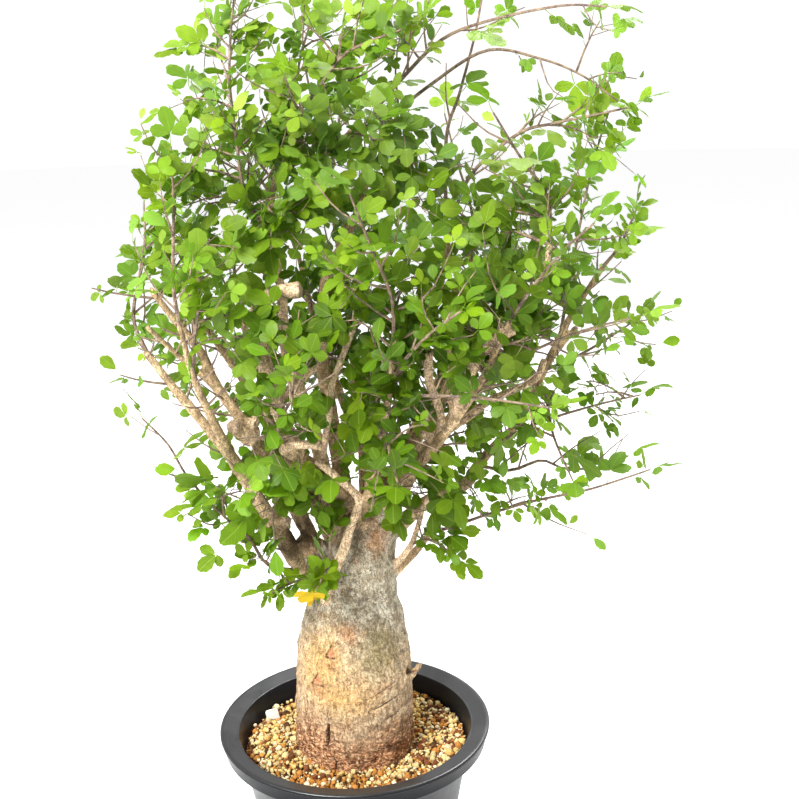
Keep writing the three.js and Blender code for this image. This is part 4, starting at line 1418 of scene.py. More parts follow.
def bark_material(settings):
    """Weathered bark: sandy on the trunk, red and fibrous at its foot, brown or tan on the limbs."""
    shades = Shades("weathered_bark")
    place = shades.place()
    layers = ("bark_zones", "bark_tones", "bark_marks")
    zones, tones, marks = [shades.node("VertexColor", layer_name=name).outputs for name in layers]
    golden, moss, foot = shades.node("SeparateColor", {0: zones[0]}).outputs
    pale, cut, rust = shades.node("SeparateColor", {0: tones[0]}).outputs
    scar, crack, ring = shades.node("SeparateColor", {0: marks[0]}).outputs
    height = shades.node("SeparateXYZ", {0: place}).outputs["Z"]
    broad = shades.noise(place, 34, detail=4)
    patchy = shades.noise(place, 85, detail=5, roughness=0.65)
    ragged = shades.noise(place, 130, detail=6, roughness=0.7, distortion=0.4)
    speck = shades.noise(place, 420, detail=6, roughness=0.85)
    fine = shades.noise(place, 1000, detail=3, roughness=0.7)
    folds = shades.noise(shades.scaled(place, (1, 1, 2.3)), 150, detail=5, roughness=0.68, distortion=1.7)
    creases = shades.noise(shades.scaled(place, (1, 1, 1.5)), 78, detail=5, roughness=0.64, distortion=1.1)
    fibres = shades.noise(shades.scaled(place, (2.6, 2.6, 1)), 150, detail=5, roughness=0.7, distortion=0.8)

    def ragged_mask(mask, low, high):
        """A mask with a torn edge."""
        rough = shades.maths("ADD", mask, shades.ramp(ragged, 0.3, 0.7, -0.26, 0.26))
        return shades.ramp(rough, low, high)

    def contour(pattern, middle, width):
        """A line where a pattern passes its middle value."""
        apart = shades.maths("ABSOLUTE", shades.maths("SUBTRACT", pattern, middle), 0.0)
        return shades.ramp(apart, width, 0.3 * width)

    limbs = shades.mix(shades.ramp(broad, 0.36, 0.64), settings.brown, settings.fawn)
    limbs = shades.mix(ragged_mask(pale, 0.3, 0.9), limbs, settings.tan)
    limbs = shades.mix(shades.ramp(patchy, 0.56, 0.7, 0, 0.45), limbs, settings.grey)
    limbs = shades.brighten(limbs, shades.ramp(patchy, 0.36, 0.56, 0.66, 1.16))
    trunk = shades.mix(shades.ramp(patchy, 0.36, 0.6), settings.sand, settings.cream)
    risen = shades.maths("ADD", height, shades.ramp(ragged, 0.3, 0.7, -0.022, 0.022))
    greys = shades.mix(shades.ramp(patchy, 0.42, 0.6), settings.grey, settings.silver)
    trunk = shades.mix(shades.ramp(risen, 0.285, 0.335), trunk, greys)
    trunk = shades.mix(ragged_mask(golden, 0.1, 0.95), trunk, settings.golden)
    trunk = shades.mix(shades.times(ragged_mask(moss, 0.1, 0.8), 0.75), trunk, settings.moss)
    # Painted light on the foot's folds: a painted shadow in the furrows and a painted highlight on the
    # ridges
    lit_and_shaded_folds = shades.mix(shades.ramp(folds, 0.42, 0.50), FOLD_SHADOW, settings.red)
    lit_and_shaded_folds = shades.mix(shades.ramp(folds, 0.52, 0.60), lit_and_shaded_folds, FOLD_HIGHLIGHT)
    trunk = shades.mix(ragged_mask(foot, 0.1, 0.95), trunk, lit_and_shaded_folds)
    colour = shades.mix(tones[1], limbs, trunk)
    colour = shades.mix(shades.times(ragged_mask(rust, 0.2, 0.9), 0.75), colour, settings.rust)
    colour = shades.mix(cut, colour, settings.cut)
    colour = shades.brighten(colour, shades.ramp(speck, 0.38, 0.63, 0.60, 1.42))
    colour = shades.brighten(colour, shades.ramp(fibres, 0.40, 0.57, 0.54, 1.22))
    upper = shades.ramp(risen, 0.28, 0.34, 0.5, 0.9)
    colour = shades.mix(shades.times(shades.ramp(fine, 0.53, 0.63), upper), colour, DARK_SPECKS)
    # Painted shade in the creases, stronger on the trunk than on the limbs
    crease = shades.times(contour(creases, 0.5, 0.022), shades.ramp(ragged, 0.44, 0.54))
    depth = shades.ramp(tones[1], 0.0, 1.0, 0.35, 0.8)
    colour = shades.mix(shades.times(crease, depth), colour, CREASE_SHADE)
    # Painted shade in the crotches between the limbs
    colour = shades.mix(shades.times(ragged_mask(zones[1], 0.25, 0.95), 0.9), colour, CROTCH_SHADE)
    torn = shades.maths("ADD", scar, shades.ramp(ragged, 0.3, 0.7, -0.07, 0.07))
    healing = shades.mix(shades.ramp(speck, 0.42, 0.56), SCAR_DARK, SCAR_PALE)
    colour = shades.mix(shades.times(shades.ramp(torn, 0.54, 0.36), 0.8), colour, healing)
    # Near-black in the cracks and knots and round the scars and rings: partly the bark's own dark, partly
    # painted shade in their grooves
    split = shades.maths("ADD", crack, shades.ramp(speck, 0.3, 0.7, -0.09, 0.09))
    outline = shades.maths("MAXIMUM", contour(torn, 0.47, 0.07), shades.times(contour(ring, 0.0, 0.2), 0.6))
    outline = shades.times(outline, shades.ramp(ragged, 0.42, 0.54, 0.35, 0.95))
    gash = shades.times(shades.ramp(split, 0.27, 0.17), shades.ramp(speck, 0.35, 0.5, 0.6, 1))
    colour = shades.mix(shades.times(shades.maths("MAXIMUM", outline, gash), 0.95), colour, SPLIT_DARK_AND_SHADE)
    rough = shades.node("Mix", {0: foot, 2: fibres, 3: shades.times(folds, 2.0)}).outputs[0]
    relief = shades.maths("ADD", shades.times(speck, 0.7), rough)
    relief = shades.maths("SUBTRACT", relief, shades.times(crease, 0.4))
    values = {
        "Base Color": colour,
        "Roughness": shades.ramp(speck, 0.3, 0.7, 0.92, 0.75),
        "Specular IOR Level": 0.22,
        "Normal": shades.bump(relief, 0.7, 0.0013),
    }
    return shades.coat(values)


class COMMIPHORA_OT_wood(bpy.types.Operator):
    """Grow the trunk, limbs and pruned stubs together and weather their bark"""

    bl_idname = "commiphora.wood"
    bl_label = "Trunk and branches"
    bl_options = {"REGISTER", "UNDO"}

    def execute(self, context):
        settings = context.scene.commiphora_bark
        wood = grow_wood(settings)
        weather_wood(wood, settings)
        select_only(wood)
        bpy.ops.object.shade_smooth()
        set_materials(wood, bark_material(settings))
        hand_over(wood, "weathered_wood", "bark", "trunk_and_branches")
        return {"FINISHED"}


# Leaves and twigs


BLADE_ROWS = 10
BLADE_WIDTH = 0.68  # of its length
SIDE_LEAFLET = 0.72  # the two side leaflets are this much of the end one
BLADE_BENDS = ((0.0, 0.22), (-0.2, 0.9), (0.05, 0.4), (-0.3, 0.3))  # limits of fold, cup, droop and twist
TUFT_LEAVES = 11
TUFT_LENGTH = 80  # a spray shorter than this is a tuft
# Openings in the crown: x, z, how far each reaches and the share of its leaves that are missing
THIN_SPOTS = [
    (135, 799, 26, 0.55), (135, 751, 26, 0.45), (-8, 891, 24, 0.4), (-138, 412, 30, 0.8),
    (132, 398, 30, 0.85), (239, 486, 34, 0.85), (-139, 527, 28, 0.6), (135, 890, 34, 0.6),
    (200, 890, 30, 0.7), (190, 520, 26, 0.5), (-150, 470, 26, 0.5), (-150, 850, 50, 0.5),
    (-150, 430, 30, 0.5), (80, 830, 30, 0.6), (235, 830, 40, 0.5), (232, 590, 40, 0.65),
    (238, 530, 36, 0.7), (-145, 530, 26, 0.5), (-128, 600, 34, 0.55), (20, 750, 28, 0.35),
    (120, 750, 30, 0.4), (-50, 890, 26, 0.4), (182, 545, 26, 0.4),
]
LONE_LEAVES = 0.22  # the share of leaves with a single leaflet
FADED_SPOTS = [(-26, -84, 394, 2), (-107, -40, 868, 7)]  # where leaves are about to drop, and how far round
CROWN_MARGIN = 11.0  # leaves may stand this far out of the solids' box
SIDE_TWIG_APART = 20.0
LEAF_APART = 12.0
SHOOT_APART = 17.0
# Wood that leaves don't hide from the camera: the stubs, from SEEN_START of the way along or as SEEN_FROM
# says, and two limbs, between two shares of their length, at so many points
SEEN_START = 0.15
SEEN_FROM = {3: 0.82, 15: 1.0}
SEEN_POINTS = 7
SEEN_LIMBS = {1: (0.1, 0.95, 18), 2: (0.45, 0.95, 10)}
SIGHT_ROOM = 0.012  # how near, as a share of the distance, a leaf may pass before what is watched
SIGHT_DEPTH = 4  # a leaf hides only what lies so much farther from the camera
LEAF_MIDDLE = 12  # from the end of a stalk to the middle of its leaf
LOWEST_LEAF = 396
LOWEST_TWIG = 405
LOWEST_SHOOT = 440
PERCH_REACH = 42  # the length of a loose shoot, where it can have it
SHOOT_START = 0.32  # shoots leave a limb from this share of it
SPRAY_LEAF = 0.66  # leaves of the side twigs, of a full leaf
SPRAY_YOUTH = 0.5
SPRAY_SEED = 500
SOLID_SEED = 101  # the first seed that the solids' leaves are drawn from, and the step from spray to spray
SOLID_SEED_STEP = 37
# Groups of shoots: the limbs that they leave, and the x between which the loose ones end
SHOOT_GROUPS = {
    "shoots_left": ([1, 2, 3, 4, 5, 6, 7, 16], (-200, 0)),
    "shoots_middle": ([8, 10, 11, 13, 14, 15], (0, 105)),
    "shoots_right": ([9, 12, 17, 18, 19], (105, 300)),
}
# Colours of a blade's veins and underside, and of the light that comes through it
VEINS = (0.40, 0.52, 0.08)
UNDERSIDE = (0.24, 0.36, 0.05)
LIGHT_THROUGH = (0.62, 0.84, 0.04)
LIT_VEINS = (0.25, 0.38, 0.03)
TWIG_MOTTLE = (0.30, 0.21, 0.13)
TWIG_DOTS = (0.5, 0.42, 0.33)
# What a leaf's colour is multiplied by, from the coolest to the warmest one
COOL = np.array((0.86, 0.99, 1.35))
WARM = np.array((1.12, 1.01, 0.7))


def blade_outline(share):
    """Half the blade's width at a share of its length: narrow at the stalk and widest past the middle."""
    return 0.5 * BLADE_WIDTH * math.sin(math.pi * share**1.35) ** 0.66


def press_blade():
    """One flat leaflet of unit length: an upper face over a lower one that meet at the crenate edge."""
    bpy.ops.object.select_all(action="DESELECT")
    bpy.ops.mesh.primitive_grid_add(x_subdivisions=2, y_subdivisions=BLADE_ROWS, size=1)
    blade = bpy.context.object
    for i, vertex in enumerate(blade.data.vertices):
        row, column = divmod(i, 3)
        even = row / BLADE_ROWS
        share = lerp(even, 0.5 - 0.5 * math.cos(math.pi * even), 0.75)
        scallop = 1.045 if row % 2 else 0.95
        tooth = 0.018 if row % 2 else -0.008
        ended = row in (0, BLADE_ROWS)
        across = 0 if ended else blade_outline(share) * scallop
        vertex.co = ((column - 1) * across, share + (0 if ended or column == 1 else tooth), 0)
    edit_all()
    bpy.ops.mesh.duplicate()
    bpy.ops.mesh.flip_normals()
    bpy.ops.object.mode_set(mode="OBJECT")
    for vertex in blade.data.vertices:
        if vertex.select and abs(vertex.co.x) < 1e-4 and 0.01 < vertex.co.y < 0.99:
            vertex.co.z = -1
    edit_all()
    bpy.ops.mesh.remove_doubles(threshold=1e-5)
    bpy.ops.object.mode_set(mode="OBJECT")
    places = np.array([vertex.co for vertex in blade.data.vertices])
    faces = [tuple(face.vertices) for face in blade.data.polygons if face.area > 1e-9]
    under = [face.normal.z < 0 for face in blade.data.polygons if face.area > 1e-9]
    bpy.data.objects.remove(blade)
    return places, faces, under


class Foliage:
    """Gathers tubes and blades and makes one mesh of them, with twigs in the first material slot."""

    def __init__(self, settings, blade):
        self.settings = settings
        self.blade_places, self.blade_faces, under = blade
        self.places = []
        self.faces = []
        self.slots = []
        self.tints = []
        self.maps = []
        self.count = 0
        corners = [corner for face in self.blade_faces for corner in face]
        self.blade_map = self.blade_places[corners][:, :2] + (0.5, 0)
        self.blade_shade = np.repeat(np.array(under, float), [len(face) for face in self.blade_faces])

    def add(self, places, faces, slot, tints, maps):
        self.places.append(places)
        self.faces += [tuple(corner + self.count for corner in face) for face in faces]
        self.slots += [slot] * len(faces)
        self.tints.append(tints)
        self.maps.append(maps)
        self.count += len(places)

    def tube(self, line, radii, sides, slot, tint):
        """A closed tube along a line of places."""
        ways = np.gradient(line, axis=0)
        level = unit(np.cross(ways[0], UP if abs(unit(ways[0])[2]) < 0.95 else (1.0, 0.0, 0.0)))
        angles = np.arange(sides) * 2 * math.pi / sides
        rings = []
        for place, way, radius in zip(line, ways, radii):
            level = unit(level - unit(way) * (level @ unit(way)))
            rising = np.cross(unit(way), level)
            ring = np.outer(np.cos(angles), level) + np.outer(np.sin(angles), rising)
            rings.append(place + radius * ring)
        faces = [tuple(reversed(range(sides)))]
        for ring in range(len(line) - 1):
            for side in range(sides):
                after = (side + 1) % sides
                low = ring * sides
                faces.append((low + side, low + after, low + sides + after, low + sides + side))
        faces.append(tuple(range((len(line) - 1) * sides, len(line) * sides)))
        corners = sum(len(face) for face in faces)
        self.add(np.vstack(rings), faces, slot, np.tile((*tint, 0.0), (corners, 1)), np.zeros((corners, 2)))

    def twig(self, curve, root, tip, steps):
        shares = np.linspace(0, 1, steps)
        self.tube(curve.points(shares), lerp(root, tip, shares), 4, 0, self.settings.twig)

    def blade(self, foot, along, face, length, tint, bend):
        """One leaflet. bend gives how far it folds at the rib, cups, droops and twists."""
        fold, cup, droop, twist = bend
        side = unit(np.cross(along, face))
        flat = self.blade_places
        x = flat[:, 0] * length
        y = flat[:, 1] * length
        rise = flat[:, 2] * self.settings.thickness / MM
        rise = rise + fold * np.abs(x) - cup * x * x / length - droop * y * y / length
        rise = rise + twist * x * y / length
        wave = 0.05 * length * np.sin(9 * flat[:, 1] + 7 * twist) * np.abs(flat[:, 0]) / BLADE_WIDTH
        places = foot + np.outer(x, side) + np.outer(y, along) + np.outer(rise + wave, face)
        corners = len(self.blade_map)
        tints = np.column_stack([np.tile(tint, (corners, 1)), self.blade_shade])
        self.add(places, self.blade_faces, 1, tints, self.blade_map)

    def leaf(self, foot, along, face, size, tint, draw, stalk=STALK, lone=False):
        """A leaf of three leaflets on its stalk, or of one."""
        full = self.settings.blade / MM * size
        end = foot + along * stalk * size + face * 0.6 * size
        sag = foot + along * stalk * size * 0.5 - face * 0.5 * size
        green = lerp(np.array(tint), np.array(self.settings.young), 0.4)
        self.tube(np.array([foot - along, sag, end]), [0.55 * size, 0.42 * size, 0.36 * size], 3, 1, green)
        side = unit(np.cross(along, face))
        spread = draw.uniform(1.05, 1.4)
        leaflets = [(0, 1), (spread, SIDE_LEAFLET), (-spread, SIDE_LEAFLET * draw.uniform(0.8, 1.05))]
        for turn, share in leaflets[: 1 if lone else 3]:
            turn += draw.uniform(-0.12, 0.12)
            way = along * math.cos(turn) + side * math.sin(turn)
            tilt = unit(face + 0.22 * (way if turn else side) * draw.uniform(-1, 1) + 0.1 * along)
            tilt = unit(tilt - way * (tilt @ way))
            bend = [draw.uniform(*limits) for limits in BLADE_BENDS]
            shade = np.clip(np.array(tint) * draw.uniform(0.88, 1.1), 0, 1)
            self.blade(end + way * 0.6, way, tilt, full * share, shade, bend)

    def finish(self, name, materials):
        """Makes the mesh and its object, with the place in the mesh."""
        mesh = bpy.data.meshes.new(name)
        mesh.from_pydata(np.vstack(self.places) * MM, [], self.faces)
        for material in materials:
            mesh.materials.append(material)
        mesh.polygons.foreach_set("material_index", self.slots)
        paint(mesh, "leaf_tint", np.vstack(self.tints), "CORNER")
        blade_map = mesh.uv_layers.new(name="blade_map")
        blade_map.data.foreach_set("uv", np.vstack(self.maps).astype(np.float32).ravel())
        piece = linked(mesh)
        smooth_below(piece, 48)
        return piece


def own_leaves(name, curve, seed):
    """The leaves that the spray's solid has, found by the turn at which the solid has a leaf's tip."""
    tree = tree_of([vertex.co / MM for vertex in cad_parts[name].data.vertices])
    draws = draws_from(seed)
    count = max(2, math.floor(curve.length() * LEAFY_SHARE / LEAF_SPACING + 0.5) + 1)
    for i in range(count):
        along = 0.99 - i / count * LEAFY_SHARE
        size = LEAF_SMALLEST + LEAF_RANGE * next(draws)
        lean = LEAN_OFF if i else LEAN_TIP
        start = i * GOLDEN_ANGLE + next(draws) * 2
        tangent = curve.tangent(along)
        foot = curve.point(along)
        for turn in range(LEAF_TURNS):
            out = sideways(tangent, start + turn * 2 * math.pi / LEAF_TURNS)
            way = unit(tangent * lean + out + UP * LEAF_LIFT)
            face = np.cross(unit(np.cross(way, UP)), way)
            tip = foot + way * (STALK + LEAF_REACH) * size - face * LEAF_REACH**2 / LEAF_DROOP * size
            if tree.find(tip)[2] < 0.9:
                yield foot, way, face, size
                break


class Crown:
    """Where leaves may grow and how they look there."""

    def __init__(self, settings, studio, routes):
        self.settings = settings
        self.camera = np.array(studio.camera_place) / MM
        low, high = CAD_BOX
        self.low = np.array(low) / MM - CROWN_MARGIN
        self.high = np.array(high) / MM + CROWN_MARGIN
        middles = []
        self.girths = []
        for root, tip, _, curve in WOOD:
            shares = np.linspace(0, 1, 60)
            middles += list(curve.points(shares))
            self.girths += list(limb_radius(root, tip, shares))
        self.wood = tree_of(middles)
        stems = [(curve, root, tip) for root, tip, _, curve in WOOD[1 : len(LIMBS)]]
        stems += [(Curve(route), TWIG_ROOT, TWIG_TIP) for route in routes]
        self.perches = []
        for curve, root, tip in stems:
            shares = np.linspace(0.15, 0.95, 24)
            self.perches += list(zip(curve.points(shares), lerp(root, tip, shares)))
        watched = []
        for stub, (_, _, _, curve) in enumerate(WOOD[len(LIMBS) :]):
            first = SEEN_FROM.get(stub, SEEN_START)
            watched += list(curve.points(np.linspace(first, 1, SEEN_POINTS)))
        for limb, stretch in SEEN_LIMBS.items():
            watched += list(WOOD[limb][3].points(np.linspace(*stretch)))
        ways = np.array(watched) - self.camera
        self.watched_reach = np.linalg.norm(ways, axis=1)
        self.watched = ways / self.watched_reach[:, None]

    def leafiness(self, place):
        """How much grows at a place: less at the top right and low down at either side."""
        top = smooth_step(30, 120, place[0]) * smooth_step(745, 805, place[2])
        right = smooth_step(110, 190, place[0]) * (1 - smooth_step(520, 590, place[2]))
        left = smooth_step(105, 150, -place[0]) * (1 - smooth_step(520, 580, place[2]))
        low = 1 - smooth_step(430, 500, place[2])
        share = (1 - 0.72 * top) * (1 - 0.45 * right) * (1 - 0.7 * left) * (1 - 0.3 * low)
        for x, z, reach, thinner in THIN_SPOTS:
            apart = ((place[0] - x) ** 2 + (place[2] - z) ** 2) / reach**2
            share *= 1 - thinner * math.exp(-apart)
        return float(share)

    def hides_wood(self, place):
        way = place - self.camera
        reach = np.linalg.norm(way)
        near = np.linalg.norm(self.watched - way / reach, axis=1) < SIGHT_ROOM
        return bool(np.any(near & (self.watched_reach > reach + SIGHT_DEPTH)))

    def has_room(self, foot, way, size):
        """Whether a leaf stays in the crown, clear of the wood and the trunk, and hides no watched wood."""
        middle = foot + way * (STALK + LEAF_MIDDLE) * size
        tip = foot + way * (STALK + LEAF_REACH) * size
        if np.any(tip < self.low) or np.any(tip > self.high) or middle[2] < LOWEST_LEAF:
            return False
        _, near, apart = self.wood.find(middle)
        if apart < self.girths[near] + 4:
            return False
        if math.hypot(middle[0] - 10, middle[1]) < 75 and middle[2] < 440:
            return False
        return not self.hides_wood(middle)

    def perch(self, end):
        """Where a loose shoot best starts: on wood or a stem, a little way off and not above its end."""

        def cost(perch):
            way = end - perch[0]
            return abs(np.linalg.norm(way) - PERCH_REACH) + 0.5 * max(-way[2], 0) + 0.3 * max(way[1], 0)

        place, radius = min(self.perches, key=cost)
        return place + unit(end - place) * radius * 0.6

    def tint(self, place, youth, draw):
        """A leaf's colour: lime when young, deep green inside the crown as painted shade, pale high up and
        at the sides as painted light.

        Each is a little warmer or cooler than the next, and those low in the middle are darkened as painted
        shade.
        """
        warm = draw.random()
        if any(math.dist(place, spot[:3]) < spot[3] for spot in FADED_SPOTS):
            return self.settings.fading
        # Painted shade: the farther inside the crown, the more a leaf is darkened towards the deep green
        reach = np.linalg.norm((place - CROWN_CENTRE) / CROWN_RADII)
        inside = 1 - smooth_step(0.4, 1.0, reach)
        grown = np.array(self.settings.grown)
        colour = lerp(grown, np.array(self.settings.deep), inside * draw.uniform(0.6, 1))
        colour = lerp(colour, np.array(self.settings.young), np.clip(youth * draw.uniform(0.4, 1.2), 0, 1))
        # Painted light: leaves high up and at the sides are paled towards the pale green
        aside = abs(place[0] - 25)
        high = 0.8 * float(smooth_step(640, 880, place[2]))
        lit = max(high, 0.42 * float(smooth_step(60, 150, aside)))
        colour = lerp(colour, np.array(self.settings.pale), lit * draw.random())
        # Painted shade: leaves low in the middle of the crown are darkened
        shaded = 0.3 * (1 - smooth_step(50, 120, aside)) * (1 - smooth_step(560, 700, place[2]))
        hue = lerp(COOL, WARM, warm)
        return np.clip(colour * hue * draw.uniform(0.70, 1.2) * (1 - shaded), 0, 1)

    def face(self, place, way, draw):
        """Which way a blade faces: up and out of the crown, with a free part."""
        out = unit((place - CROWN_CENTRE) * (1, 1, 0))
        free = np.array([draw.gauss(0, 1), draw.gauss(0, 1), draw.gauss(0, 1)])
        face = UP * 0.75 + out * 0.5 + np.array([0, -0.28, 0]) + free * 0.42
        return unit(face - way * (face @ way))


def leaf_out(foliage, crown, line, start, size, youth, draw):
    """Leaves along a twig, each turned from the last, and one at its tip."""
    length = line.length()
    count = max(1, round(length * (1 - start) / (LEAF_APART * (0.6 + 0.5 * size))))
    for i in range(count + 1):
        along = lerp(start, 0.995, i / count)
        if draw.random() > 0.1 + 0.95 * crown.leafiness(line.point(along)):
            continue
        foot = line.point(along)
        tangent = line.tangent(along)
        out = sideways(tangent, i * GOLDEN_ANGLE + draw.uniform(0, 1.2))
        lean = 1.6 if i == count else 0.55
        way = unit(tangent * lean + out + UP * draw.uniform(-0.1, 0.45))
        leaf_size = size * draw.uniform(0.65, 1.25) * lerp(1.08, 0.78, along)
        if crown.has_room(foot, way, leaf_size):
            tint = crown.tint(foot, youth * along, draw)
            lone = draw.random() < LONE_LEAVES
            foliage.leaf(foot, way, crown.face(foot, way, draw), leaf_size, tint, draw, STALK * 0.7, lone)


def side_twigs(foliage, crown, line, first, size, youth, draw):
    """Thin twigs that leave a spray's stem, with their leaves."""
    length = line.length()
    count = max(1, round(length * (1 - first) / SIDE_TWIG_APART))
    for i in range(count):
        along = lerp(first, 0.94, (i + draw.uniform(0.2, 0.8)) / count)
        foot = line.point(along)
        if draw.random() > 0.12 + 0.9 * crown.leafiness(foot):
            continue
        tangent = line.tangent(along)
        out = sideways(tangent, i * GOLDEN_ANGLE + draw.uniform(0, 1.5))
        way = unit(tangent * 0.75 + out + UP * draw.uniform(-0.05, 0.4))
        reach = lerp(74, 34, along) * draw.uniform(0.6, 1.15)
        middle = foot + way * reach * 0.5 + out * reach * 0.07
        tip = foot + way * reach + UP * reach * draw.uniform(-0.1, 0.2) + tangent * reach * 0.12
        if np.any(tip < crown.low + 9) or np.any(tip > crown.high - 9) or tip[2] < LOWEST_TWIG:
            continue
        twig = Curve([foot, middle, tip])
        foliage.twig(twig, min(1.1, 0.75 * float(twig_radius(along))), 0.42, 6)
        leaf_out(foliage, crown, twig, 0.22, size, youth, draw)


def grow_spray(number, route, settings, crown, blade, materials):
    """The finer piece for one spray: its stem, its own leaves, side twigs and their leaves."""
    name = f"leafy_spray_{number + 1:02d}"
    draw = random.Random(SPRAY_SEED + number)
    curve = Curve(route)
    foliage = Foliage(settings, blade)
    shares = np.linspace(0, 1, max(8, round(curve.length() / 9)))
    foliage.tube(curve.points(shares), twig_radius(shares) * 0.92, 6, 0, settings.twig)
    tuft = curve.length() < TUFT_LENGTH
    for foot, way, face, size in own_leaves(name, curve, SOLID_SEED + SOLID_SEED_STEP * number):
        youth = draw.uniform(0.7, 1.0) if tuft else draw.uniform(0, 0.6)
        foliage.leaf(foot, way, face, size, crown.tint(foot, youth, draw), draw)
    if tuft:
        tuft_leaves(foliage, crown, curve, draw)
    else:
        side_twigs(foliage, crown, curve, 0.06, SPRAY_LEAF, SPRAY_YOUTH, draw)
        leaf_out(foliage, crown, curve, 0.1, SPRAY_LEAF * 1.1, SPRAY_YOUTH, draw)
    piece = foliage.finish(name + "_fine", materials)
    hand_over(piece, name + "_fine", "foliage", name)


def tuft_leaves(foliage, crown, curve, draw):
    """The crowded young leaves of a short tuft."""
    for i in range(TUFT_LEAVES):
        along = lerp(0.3, 1.0, i / (TUFT_LEAVES - 1))
        foot = curve.point(along)
        out = sideways(curve.tangent(along), i * GOLDEN_ANGLE)
        way = unit(curve.tangent(along) * 0.9 + out + UP * draw.uniform(-0.2, 0.5))
        tint = crown.tint(foot, 1.0, draw)
        face = crown.face(foot, way, draw)
        foliage.leaf(foot, way, face, draw.uniform(0.45, 0.72), tint, draw, STALK * 0.6)


def loose_shoots(shoots, crown, foliage, draw):
    """Shoots that end in loose clusters of leaves, each leaf on a short twig of its own."""
    for x, y, z, leaves, size in shoots:
        end = np.array([x, y, z], float)
        foot = crown.perch(end)
        reach = np.linalg.norm(end - foot)
        stem = Curve([foot, lerp(foot, end, 0.5) + UP * reach * 0.09, end])
        foliage.twig(stem, 1.2, 0.5, max(4, round(reach / 14)))
        for i in range(leaves):
            along = lerp(0.35, 1.0, (i + 0.5) / leaves)
            start = stem.point(along)
            out = sideways(stem.tangent(along), i * GOLDEN_ANGLE + draw.uniform(0, 0.8))
            way = unit(out + stem.tangent(along) * draw.uniform(0.2, 1.0) + UP * draw.uniform(-0.2, 0.4))
            off = draw.uniform(0, 28)
            start_leaf = start + way * off
            leaf_size = 0.92 * size * draw.uniform(0.75, 1.15)
            if not crown.has_room(start_leaf, way, leaf_size):
                continue
            if off > 7:
                foliage.tube(np.array([start, start_leaf]), [0.5, 0.4], 3, 0, foliage.settings.twig)
            youth = draw.uniform(0.1, 0.6) + 0.5 * float(smooth_step(0.95, 1.3, size))
            tint = crown.tint(start_leaf, youth, draw)
            lone = draw.random() < LONE_LEAVES
            face = crown.face(start_leaf, way, draw)
            foliage.leaf(start_leaf, way, face, leaf_size, tint, draw, STALK * 0.6, lone)


def limb_shoots(name, limbs, between, settings, crown, blade, materials):
    """Short leafy shoots straight from these limbs, and the loose shoots that end between these x."""
    draw = random.Random(len(name) * 31 + limbs[0])
    foliage = Foliage(settings, blade)
    for limb in limbs:
        root, tip, _, curve = WOOD[limb]
        length = curve.length()
        count = round(length * 0.68 / SHOOT_APART)
        for i in range(count):
            along = lerp(SHOOT_START, 1.0, (i + draw.random()) / count)
            surface = float(limb_radius(root, tip, along))
            tangent = curve.tangent(along)
            out = sideways(tangent, i * GOLDEN_ANGLE + draw.uniform(0, 1.5))
            foot = curve.point(along) + out * surface * 0.6
            if foot[2] < LOWEST_SHOOT or draw.random() > 0.1 + 0.95 * crown.leafiness(foot):
                continue
            reach = draw.uniform(18, 58)
            end = foot + unit(out + tangent * 0.7 + UP * 0.3) * reach
            shoot = Curve([foot, lerp(foot, end, 0.5) + out * 2, end])
            foliage.twig(shoot, 1.2, 0.5, 4)
            leaf_out(foliage, crown, shoot, 0.35, 0.72, 0.25, draw)
    near = [shoot for shoot in LOOSE_SHOOTS if between[0] <= shoot[0] < between[1]]
    loose_shoots(near, crown, foliage, draw)
    piece = foliage.finish(name, materials)
    hand_over(piece, name, "foliage")


def twig_bark(settings):
    shades = Shades("twig_bark")
    place = shades.place()
    mottle = shades.noise(place, 160, detail=4)
    dots = shades.noise(place, 900, detail=2)
    colour = shades.mix(shades.ramp(mottle, 0.38, 0.66), settings.twig, TWIG_MOTTLE)
    colour = shades.mix(shades.ramp(dots, 0.56, 0.68, 0, 0.6), colour, TWIG_DOTS)
    values = {
        "Base Color": colour,
        "Roughness": shades.ramp(mottle, 0.3, 0.7, 0.6, 0.78),
        "Normal": shades.bump(dots, 0.3, 0.0003),
    }
    return shades.coat(values)


def leaf_material(settings):
    """A thin blade: its tint, paler veins and underside, and the light that comes through it."""
    shades = Shades("leaf_blade")
    place = shades.place()
    layer = shades.node("VertexColor", layer_name="leaf_tint")
    tint, under = layer.outputs[0], layer.outputs[1]
    spot = shades.node("SeparateXYZ", {0: shades.node("UVMap", uv_map="blade_map").outputs[0]}).outputs
    across = shades.maths("ABSOLUTE", shades.maths("SUBTRACT", spot[0], 0.5), 0.0)
    rib = shades.ramp(across, 0.028, 0.008)
    slant = shades.maths("SUBTRACT", shades.times(spot[1], 8.0), shades.times(across, 9.0))
    ripple = shades.maths("PINGPONG", slant, 0.5)
    veins = shades.times(shades.ramp(ripple, 0.10, 0.02), 0.6)
    pattern = shades.maths("MAXIMUM", rib, veins)
    cloud = shades.noise(place, 120, detail=3)
    colour = shades.mix(shades.ramp(cloud, 0.3, 0.7, 0.0, 0.22), tint, settings.deep)
    colour = shades.mix(shades.times(pattern, 0.4), colour, VEINS)
    colour = shades.mix(shades.times(under, 0.3), colour, UNDERSIDE)
    lit = shades.mix(0.25, shades.brighten(colour, 1.95), LIGHT_THROUGH)
    lit = shades.mix(shades.times(pattern, 0.25), lit, LIT_VEINS)
    values = {
        "Base Color": colour,
        "Roughness": shades.ramp(cloud, 0.3, 0.7, 0.34, 0.5),
        "Specular IOR Level": 0.2,
        "Normal": shades.bump(shades.maths("SUBTRACT", cloud, pattern), 0.5, 0.001),
    }
    blade = shades.node("BsdfPrincipled", values).outputs[0]
    through = shades.node("BsdfTranslucent", {"Color": lit}).outputs[0]
    return shades.surface(shades.node("MixShader", {0: 0.45, 1: blade, 2: through}).outputs[0])


